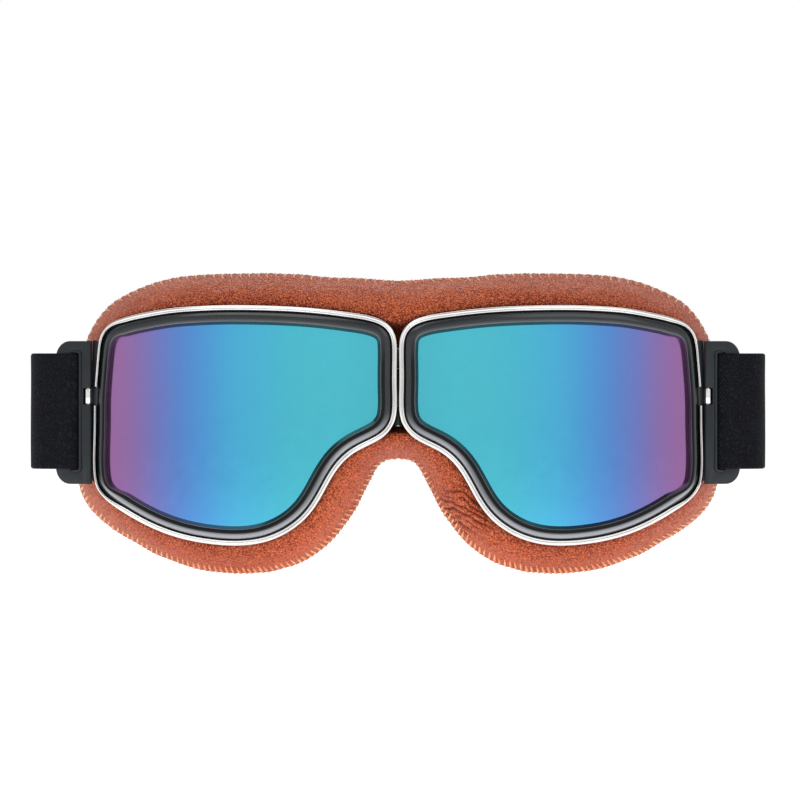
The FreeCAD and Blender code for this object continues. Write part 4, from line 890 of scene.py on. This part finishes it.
def lining_back(side):
    """Inner wall and face side of the pad: from behind the lens opening, round to the stitched edge."""
    s = 1 if side == "right" else -1
    g = []
    y_in = np.maximum(drum_y(IX, 10.9), np.where(near_mid | (IX < 9.0), np.where((IH > HINGE_Z0 - 2) & (IH < HINGE_Z1 + 2), HINGE_Y + 0.9, -99), -99))
    for i in range(NP):
        span = math.hypot(EX[i] - IX[i], EHH[i] - IH[i])
        ox, oh = (EX[i] - IX[i]) / span, (EHH[i] - IH[i]) / span
        row = []
        off0 = 0.3
        lipr = min(2.6, span * 0.3)
        x0, h0 = IX[i] + ox * off0, IH[i] + oh * off0
        yb = seal_y(x0) - lipr
        for t in (0.0, 0.2, 0.4, 0.6, 0.8, 1.0):
            bulge = 0.55 * math.sin(math.pi * t)
            row.append((x0 - ox * bulge, y_in[i] + (yb - y_in[i]) * t, h0 - oh * bulge))
        for a in (18, 36, 54, 72, 90):
            c, q = math.cos(math.radians(a)), math.sin(math.radians(a))
            x, h = x0 + ox * lipr * (1 - c), h0 + oh * lipr * (1 - c)
            row.append((x, seal_y(x) - lipr + lipr * q, h))
        x1, h1 = x0 + ox * lipr, h0 + oh * lipr
        rest = span - off0 - lipr - (0.12 + 1.1 * EX[i] / SEAL_R * abs(ox))
        for t in (0.12, 0.25, 0.38, 0.52, 0.66, 0.78, 0.87, 0.93, 0.97, 1.0):
            x, h = x1 + ox * rest * t, h1 + oh * rest * t
            if near_mid[i]:
                y = seal_y(x) + 0.15 * math.sin(math.pi * t)
            else:
                puff = min(rest, 12) / 12 * 0.9
                y = seal_y(x) + puff * math.sin(math.pi * t) ** 0.8 - 0.55 * math.exp(-(((1 - t) * rest) / 1.4) ** 2)
            row.append((x, y, h))
        row = [(max(x, 0.0), y + 0.28 * fbm((s * x * 0.12, y * 0.12, h * 0.12), 2) * (0 if k in (0, len(row) - 1) else 1), h - EH) for k, (x, y, h) in enumerate(row)]
        if near_mid[i] or i in (first, last):
            row[-1] = (0.0, row[-1][1], row[-1][2])
        g.append(row)
    return np.array(g)


def join_halves(name, right, left, mats, attrs=None, skip=None):
    """One mesh from the two half grids, welded in the middle plane."""
    verts, faces, vals = [], [], {k: [] for k in (attrs or {})}
    for h, (grid, flip) in enumerate(((right, False), (left, True))):
        n, k = grid.shape[:2]
        o = sum(len(v) for v in verts)
        p = grid.reshape(-1, 3).copy()
        if flip:
            p[:, 0] *= -1
        verts.append(p)
        for key in vals:
            vals[key].append(attrs[key][h].ravel())
        idx = np.arange(n * k).reshape(n, k) + o
        for i in range(n):
            i2 = (i + 1) % n
            for j in range(k - 1):
                f = (int(idx[i, j]), int(idx[i2, j]), int(idx[i2, j + 1]), int(idx[i, j + 1]))
                faces.append(f[::-1] if flip else f)
    v = np.vstack(verts)
    # drop faces that lie in the middle plane
    faces = [f for f in faces if not all(abs(v[q][0]) < 1e-7 for q in f)]
    return make(name, v, faces, mats, weld=0.003, attr={k: np.concatenate(x) for k, x in vals.items()})


def thicken(ob, mm, offset):
    orient(ob)
    so = ob.modifiers.new("thickness", "SOLIDIFY")
    so.thickness = mm * 0.001
    so.offset = offset
    so.use_even_offset = False
    so.use_rim = True
    return apply_modifiers(ob)


gr, cr, kr = cover_front("right")
gl, cl, kl = cover_front("left")
cover = join_halves("leather_seal", gr, gl, [M_LEATHER], {"crown": (cr, cl), "crease_shade": (kr, kl)})
orient(cover)
# outward is the front: turn the skin over if most of it faces back
nsum = sum(p.normal.y * p.area for p in cover.data.polygons)
if nsum > 0:
    cover.data.flip_normals()
so = cover.modifiers.new("thickness", "SOLIDIFY")
so.thickness, so.offset, so.use_rim = 0.0012, -1.0, True
apply_modifiers(cover)
cover.data.shade_smooth()
cover.data.set_sharp_from_angle(angle=math.radians(62))

br, bl = lining_back("right"), lining_back("left")
pad = join_halves("padded_lining", br, bl, [M_LINING])
orient(pad)
nsum = sum(p.normal.y * p.area for p in pad.data.polygons)
if nsum < 0:
    pad.data.flip_normals()
so = pad.modifiers.new("thickness", "SOLIDIFY")
so.thickness, so.offset, so.use_rim = 0.0011, -1.0, True
apply_modifiers(pad)
pad.data.shade_smooth()
pad.data.set_sharp_from_angle(angle=math.radians(60))


# ------------------------------------------------------------------ tubes for thread
def tube(points, radius, sides=6, taper=0.35):
    """Capsule-ended tube along points (mm). Returns vertices and faces."""
    pts = [Vector(p) for p in points]
    vs, fs = [], []
    prev = None
    for i, p in enumerate(pts):
        t = (pts[min(i + 1, len(pts) - 1)] - pts[max(i - 1, 0)]).normalized()
        if prev is None:
            a = t.orthogonal().normalized()
        else:
            a = (prev - t * prev.dot(t)).normalized()
        prev = a
        b = t.cross(a)
        e = min(i, len(pts) - 1 - i)
        r = radius * (taper if e == 0 else 1.0)
        for j in range(sides):
            w = 2 * math.pi * j / sides
            vs.append(p + a * r * math.cos(w) + b * r * math.sin(w))
    n = len(pts)
    for i in range(n - 1):
        for j in range(sides):
            j2 = (j + 1) % sides
            fs.append((i * sides + j, i * sides + j2, (i + 1) * sides + j2, (i + 1) * sides + j))
    fs.append(tuple(range(sides - 1, -1, -1)))
    fs.append(tuple((n - 1) * sides + j for j in range(sides)))
    return vs, fs


def edge_at(s_mm, grid, back):
    """Interpolated edge at arc length: the edge point, a function that interpolates a grid row between the two nearest
    sections, and those sections with the fraction.
    """
    i = np.searchsorted(ARC[OUTER], s_mm) - 1
    i = int(np.clip(i, 0, len(OUTER) - 2))
    a, b = OUTER[i], OUTER[i + 1]
    t = (s_mm - ARC[a]) / max(ARC[b] - ARC[a], 1e-9)
    w = lambda g, k: g[a, k] * (1 - t) + g[b, k] * t
    return w(grid, -1), w, (a, b, t)


def stitches():
    vs, fs = [], []
    for side, s, grid, bk in (("right", 1, gr, br), ("left", -1, gl, bl)):
        for j in range(n_st):
            s0 = float(np.interp(j + 0.5, TURNS[OUTER], ARC[OUTER]))
            pitch = float(np.interp(j + 0.5, TURNS[OUTER], LOCAL_PITCH[OUTER]))
            if s0 > ARC[last] - 0.4 * pitch or s0 < 0.4 * pitch:
                continue
            jig = rng.uniform(-0.10, 0.10)
            low_down = float(np.clip((2.6 - pitch) / 0.85, 0, 1)) * float(smooth_step(s0, 12.0, 34.0))
            reach = 1.45 + 0.65 * low_down + rng.uniform(-0.28, 0.28)
            lean = (0.62 + 0.45 * low_down) * s
            pts = []
            for f, dist, where in ((-1.0, reach, "front"), (-0.62, reach * 0.6, "front"), (-0.2, 0.22, "front"), (0.05, -0.10, "rim"), (0.35, -0.08, "rim2"), (0.62, 0.45, "back"), (1.0, reach * 0.8, "back")):
                sa = float(np.clip(s0 + lean * f + jig, 0.0, ARC[last] - 1e-3))
                e, w, (a, b, t) = edge_at(sa, grid, bk)
                span = math.hypot(EX[a] - WX[a], EHH[a] - WH[a])
                ux, uh = (EX[a] - WX[a]) / max(span, 1e-6), (EHH[a] - WH[a]) / max(span, 1e-6)
                ge = w(grid, -1)
                be = w(bk, -1)
                if where == "front":
                    row = grid[a] * (1 - t) + grid[b] * t
                    dd = np.hypot(row[:, 0] - ge[0], row[:, 2] - ge[2])[::-1]
                    y = np.interp(dist, dd, row[::-1, 1]) - 0.14 + (0.22 if f == -1.0 else 0.0)
                    p = (ge[0] - ux * dist, y, ge[2] - uh * dist)
                elif where == "rim":
                    p = (ge[0] - ux * dist, ge[1] + 0.35, ge[2] - uh * dist)
                elif where == "rim2":
                    p = (be[0] - ux * dist, be[1] - 0.25, be[2] - uh * dist)
                else:
                    row = bk[a] * (1 - t) + bk[b] * t
                    dd = np.hypot(row[:, 0] - be[0], row[:, 2] - be[2])[::-1]
                    y = np.interp(dist, dd, row[::-1, 1]) + 0.14
                    p = (be[0] - ux * dist, y, be[2] - uh * dist)
                pts.append((s * max(p[0], 0.0), p[1], p[2]))
            v, f = tube(pts, 0.27 + 0.09 * (pitch < 2.2) + rng.uniform(-0.03, 0.03))
            o = len(vs)
            vs += v
            fs += [tuple(o + q for q in face) for face in f]
    return make("seal_stitching", [tuple(v) for v in vs], fs, [M_THREAD])


stitch = stitches()
for ob, slot in ((cover, "leather_tan"), (pad, "lining"), (stitch, "leather_tan")):
    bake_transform(ob)
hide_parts("leather_cover_left", "leather_cover_right", "nose_leather")
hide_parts("face_lining_left", "face_lining_right", "nose_lining", "foam_pad_left", "foam_pad_right", "nose_foam")

# ------------------------------------------------------------------ elastic strap
SLOPE = math.radians(30.0)
T = Vector((93.5, 0.0, 0.0))
U_ = Vector((math.cos(SLOPE), math.sin(SLOPE), 0))
V_ = Vector((-math.sin(SLOPE), math.cos(SLOPE), 0))
HALF, LAY, SLOT_OUT = 0.8, 1.85, 5.6
TURN_DEG, LEG_DEG = 94.0, 125.0


def head(deg):
    return Vector((math.cos(math.radians(deg)), math.sin(math.radians(deg)), 0))


class Path:
    """Straight runs and tangent arcs, sampled every step millimetres."""

    def __init__(self, start, deg, step=0.8):
        self.at, self.deg, self.step = Vector(start), deg, step
        self.points = [(Vector(start), deg)]

    def run(self, length):
        n = max(1, int(round(length / (self.step * 1.6))))
        for i in range(1, n + 1):
            self.points.append((self.at + head(self.deg) * (length * i / n), self.deg))
        self.at = self.at + head(self.deg) * length
        return self

    def arc(self, radius, turn):
        s = 1 if turn > 0 else -1
        c = self.at + head(self.deg + 90 * s) * radius
        n = max(4, int(round(abs(turn) / 360 * 2 * math.pi * radius / self.step)), int(abs(turn) / 9))
        for i in range(1, n + 1):
            a = turn * i / n
            self.points.append((c - head(self.deg + 90 * s + a) * radius, self.deg + a))
        self.at = c - head(self.deg + 90 * s + turn) * radius
        self.deg += turn
        return self


def band_mesh(name, path, u0=0.0, mirror=False, width=35.0, low=31.2, thick=1.6, mats=(None,), rise=None):
    """Webbing: rounded selvages, thin rolled edge and faint ribs, swept along the path."""
    w2, t2 = width / 2, thick / 2
    sec = []  # (across the thickness, height, v)
    nv = 28
    for i in range(nv + 1):
        v = -w2 + 0.9 + (width - 1.8) * i / nv
        sec.append((t2 - 0.05, v))
    for a in (60, 30, 0, -30, -60):
        sec.append((t2 * math.sin(math.radians(a)), w2 - 0.9 + 0.9 * math.cos(math.radians(a))))
    for i in range(nv + 1):
        v = w2 - 0.9 - (width - 1.8) * i / nv
        sec.append((-t2 + 0.05, v))
    for a in (-60, -30, 0, 30, 60):
        sec.append((t2 * math.sin(math.radians(a)), -w2 + 0.9 - 0.9 * math.cos(math.radians(a))))
    verts, uvs = [], []
    s = u0
    k = len(sec)
    prev = None
    for p, deg in path:
        if prev is not None:
            s += (p - prev).length
        prev = p
        n = head(deg + 90)
        up = rise(p) if rise else 0.0
        for t, v in sec:
            wob = 0.10 * noise.noise(Vector((s * 0.05, v * 0.06, 2.0))) if abs(t) > 0.3 else 0
            q = p + n * (t + wob)
            verts.append((q.x, q.y, low + w2 + v - EH + up))
            uvs.append((s, v))
    m = len(path)
    faces = []
    for i in range(m - 1):
        for j in range(k):
            j2 = (j + 1) % k
            faces.append((i * k + j, (i + 1) * k + j, (i + 1) * k + j2, i * k + j2))
    faces.append(tuple(range(k)))
    faces.append(tuple((m - 1) * k + j for j in range(k - 1, -1, -1)))
    ob = make(name, verts, faces, list(mats), uv=uvs, flip=mirror)
    orient(ob)
    ob.data.set_sharp_from_angle(angle=math.radians(60))
    return ob, s


turn_at = T + U_ * SLOT_OUT
outer = Path(turn_at - V_ * LAY, 30.0).run(8.6).arc(8.0, TURN_DEG - 30.0)
side_start = Vector(outer.at)
SLIDER_S = 25.0
outer.run(6.0).arc(80.0, LEG_DEG - TURN_DEG)
leg_start = Vector(outer.at)
outer.run(60.0)
side_end, side_deg = Vector(outer.at), outer.deg
back = Path(side_end, side_deg)
rest = 180.0 - back.deg
back.arc(back.at.x / math.sin(math.radians(rest)), rest)
# the turn round the plate's bar, from the inside of the plate to the front
uturn = Path(turn_at + V_ * LAY, 30.0 + 180.0, step=0.35).arc(LAY, 180.0)
side_path = uturn.points + outer.points[1:]
centre_on_leg = leg_start + head(LEG_DEG) * SLIDER_S
inner_side = side_start - head(TURN_DEG - 90) * 2.2
bar_at = centre_on_leg - head(LEG_DEG - 90) * 3.1
ret = Path(turn_at + V_ * LAY, 30.0).run(7.2)
turn = TURN_DEG - 30.0
rad = (inner_side - ret.at).dot(head(TURN_DEG - 90)) / (1 - math.cos(math.radians(turn)))
ret.arc(rad, turn)
ret.run((inner_side - ret.at).dot(head(TURN_DEG)) + 6.0)
ret.arc(77.8, LEG_DEG - TURN_DEG)
ret2 = Path(ret.at, LEG_DEG)
ret2.run((bar_at - ret.at).dot(head(LEG_DEG)) - 1.2)

for side in ("right", "left"):
    flip = side == "left"
    unit, plate, glide = side + "_lens_unit", side + "_strap_plate", side + "_adjuster"
    k = -1 if flip else 1
    ob, u_end = band_mesh("strap_side_" + side, side_path, mirror=flip, mats=[M_WEB])
    a = side_start
    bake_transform(ob)
    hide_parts("strap_end_" + side)
    ob, u_in = band_mesh("strap_return_" + side, ret.points, mirror=flip, mats=[M_WEB], width=34.6, low=31.4)
    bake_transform(ob)
    ob, _ = band_mesh("strap_loop_" + side, ret2.points, u0=u_in, mirror=flip, mats=[M_WEB], width=34.6, low=31.4)
    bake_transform(ob)

# headings of the mirrored half: a heading d on the right becomes 360 - d on the left, read in the same direction
full = back.points + [(Vector((-p.x, p.y, 0)), 360 - d) for p, d in reversed(back.points[:-1])]
ob, _ = band_mesh("strap_back_band", full, u0=u_end, mats=[M_WEB],
                  rise=lambda p: 3.4 * float(smooth_step(side_end.x - abs(p.x), 0.0, side_end.x - 4.0)))
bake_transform(ob)
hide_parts("strap_back")


# ------------------------------------------------------------------ CAD pieces with eased edges
def node_object(name):
    n = frame["nodes"][name]
    return n if isinstance(n, bpy.types.Object) else bpy.data.objects[n if isinstance(n, str) else name]


def eased(node, name, body, mat, width=0.25, segs=3, angle=28, inner=None, painted_shade_x=0.0):
    src = node_object(node)
    me = src.data.copy()
    me.name = name
    ob = bpy.data.objects.new(name, me)
    bpy.context.scene.collection.objects.link(ob)
    bm = bmesh.new()
    bm.from_mesh(me)
    bmesh.ops.remove_doubles(bm, verts=bm.verts, dist=1e-6)
    bmesh.ops.dissolve_limit(bm, angle_limit=math.radians(1.0), verts=bm.verts, edges=bm.edges)
    bmesh.ops.recalc_face_normals(bm, faces=bm.faces)
    bm.to_mesh(me)
    bm.free()
    b = ob.modifiers.new("ease", "BEVEL")
    b.width = width * 0.001
    b.segments = segs
    b.limit_method = "ANGLE"
    b.angle_limit = math.radians(angle)
    b.use_clamp_overlap = True
    b.harden_normals = False
    apply_modifiers(ob)
    ob.data.materials.clear()
    ob.data.materials.append(mat)
    # faces nearer the middle than the given x take the second material; on the chrome clip this paints its tail dark,
    # as painted shade
    if inner:
        ob.data.materials.append(inner)
    for p in ob.data.polygons:
        p.material_index = 1 if inner and abs(p.center.x) < painted_shade_x else 0
    ob.data.shade_smooth()
    ob.data.set_sharp_from_angle(angle=math.radians(40))
    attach(ob, body)
    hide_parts(node)
    return ob


for side in ("right", "left"):
    eased("strap_plate_" + side, "side_plate_" + side, side + "_strap_plate", M_PLATE, 0.35)
    eased("adjuster_" + side, "tri_glide_" + side, side + "_adjuster", M_GLIDE, 0.4)
    # painted shade: the chrome clip's tail, within 92.2 mm of the middle, is painted blackened steel
    eased("temple_clip_" + side, "chrome_clip_" + side, side + "_lens_unit", M_CHROME, 0.12, 2, inner=M_BLACKSTEEL, painted_shade_x=0.0922)
    eased("hinge_leaf_" + side, "bridge_leaf_" + side, side + "_lens_unit", M_BLACKSTEEL, 0.12, 2)

# a moulded lip round the webbing's slot in each side plate
for side in ("right", "left"):
    k = -1 if side == "left" else 1
    route = [(5.35, 66.62), (4.4, 66.64), (3.2, 66.64), (2.62, 66.5), (2.36, 66.1), (2.34, 65.0), (2.34, 58.0), (2.34, 48.6), (2.34, 39.0), (2.34, 32.4), (2.36, 31.3), (2.62, 30.9), (3.2, 30.76), (4.4, 30.76), (5.35, 30.78)]
    pts = []
    for uu, hh in route:
        q = T + U_ * uu - V_ * 1.0
        pts.append((k * q.x, q.y, hh - EH))
    vs, fs_ = tube(pts, 0.46, sides=12, taper=0.5)
    lip = make("slot_lip_" + side, [tuple(v) for v in vs], fs_, [M_PLATE])
    orient(lip)
    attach(lip, side + "_strap_plate")

# carried-over CAD nodes
for base, mat in (("rear_frame", M_REAR), ("lens_gasket", M_RUBBER), ("frame_screws", M_STEEL), ("hinge_rivets", M_BLACKSTEEL), ("temple_pin", M_STEEL)):
    for side in ("right", "left"):
        o = node_object("%s_%s" % (base, side))
        for sl in o.material_slots:
            sl.material = mat
o = node_object("hinge_pin")
for sl in o.material_slots:
    sl.material = M_STEEL

# ------------------------------------------------------------------ stage, light, camera
floor_z = cad_box[0][2] - 0.0002
me = bpy.data.meshes.new("floor")
bm = bmesh.new()
bmesh.ops.create_circle(bm, cap_ends=True, radius=7.0, segments=96)
bm.to_mesh(me)
bm.free()
floor = bpy.data.objects.new("floor", me)
floor.location.z = floor_z
bpy.context.scene.collection.objects.link(floor)
fm = Mat("pale_floor", (0.9, 0.9, 0.9), 0.8)
fm.b.inputs["Emission Color"].default_value = (1, 1, 1, 1)
fs = fm.node("ShaderNodeVectorMath", operation="LENGTH")
fm.link(fm.tc.outputs["Object"], fs.inputs[0])
fsep = fm.node("ShaderNodeSeparateXYZ")
fm.link(fm.tc.outputs["Object"], fsep.inputs[0])
near_f = fm.span(fs.outputs["Value"], 0.25, 0.9, 1.0, 0.0)
far_f = fm.span(fsep.outputs[1], -0.3, 0.3, 0.28, 0.56)
fm.link(fm.math("ADD", fm.math("MULTIPLY", near_f, 0.80), fm.math("MULTIPLY", fm.math("SUBTRACT", 1.0, near_f), far_f)), fm.b.inputs["Emission Strength"])
fm.set(Base_Color=fm.ramp(fm.noise(3, 2), [(0.3, (0.9, 0.9, 0.9)), (0.7, (0.92, 0.92, 0.92))]))
me.materials.append(fm.m)

world = bpy.data.worlds.new("studio")
bpy.context.scene.world = world
world.use_nodes = True
wt = world.node_tree
bg = wt.nodes["Background"]
bg.inputs["Strength"].default_value = 1.0
wc = wt.nodes.new("ShaderNodeTexCoord")
ws = wt.nodes.new("ShaderNodeSeparateXYZ")
wt.links.new(wc.outputs["Generated"], ws.inputs[0])
wr = wt.nodes.new("ShaderNodeValToRGB")
els = wr.color_ramp.elements
els[0].position, els[0].color = 0.0, (1.0, 1.0, 1.0, 1)
els[1].position, els[1].color = 1.0, (0.42, 0.43, 0.45, 1)
for pos, c in ((0.22, 1.0), (0.42, 0.62), (0.70, 0.45)):
    e_ = els.new(pos)
    e_.color = (c, c, c * 1.01, 1)
wt.links.new(ws.outputs[2], wr.inputs["Fac"])
wt.links.new(wr.outputs["Color"], bg.inputs["Color"])


def area(name, loc, target, size, power, size_y=None):
    d = bpy.data.lights.new(name, "AREA")
    d.energy = power
    d.size = size
    if size_y:
        d.shape = "RECTANGLE"
        d.size_y = size_y
    o = bpy.data.objects.new(name, d)
    o.location = loc
    o.rotation_euler = (Vector(target) - Vector(loc)).to_track_quat("-Z", "Y").to_euler()
    bpy.context.scene.collection.objects.link(o)
    return o


area("key", (-0.5, -0.75, 1.15), (0, 0, 0), 0.9, 5.0)
area("fill", (0.8, -0.9, 0.8), (0, 0, 0), 0.8, 2.5)
area("rear", (0.0, 1.2, 1.0), (0, 0.04, 0), 0.9, 5.0)

cam_d = bpy.data.cameras.new("camera")
cam = bpy.data.objects.new("camera", cam_d)
bpy.context.scene.collection.objects.link(cam)
DIST = 2.4
cam_d.sensor_width = 36.0
cam_d.lens = 36.0 * DIST / 0.240
cam_d.clip_end = 50
RISE = 0.010
cam.location = (0.0006, -0.016 - DIST, 0.0052 + RISE)
cam.rotation_euler = (math.radians(90) - math.atan(RISE / (DIST - 0.01)), 0, 0)
bpy.context.scene.camera = cam
bpy.context.scene.view_settings.view_transform = "Standard"
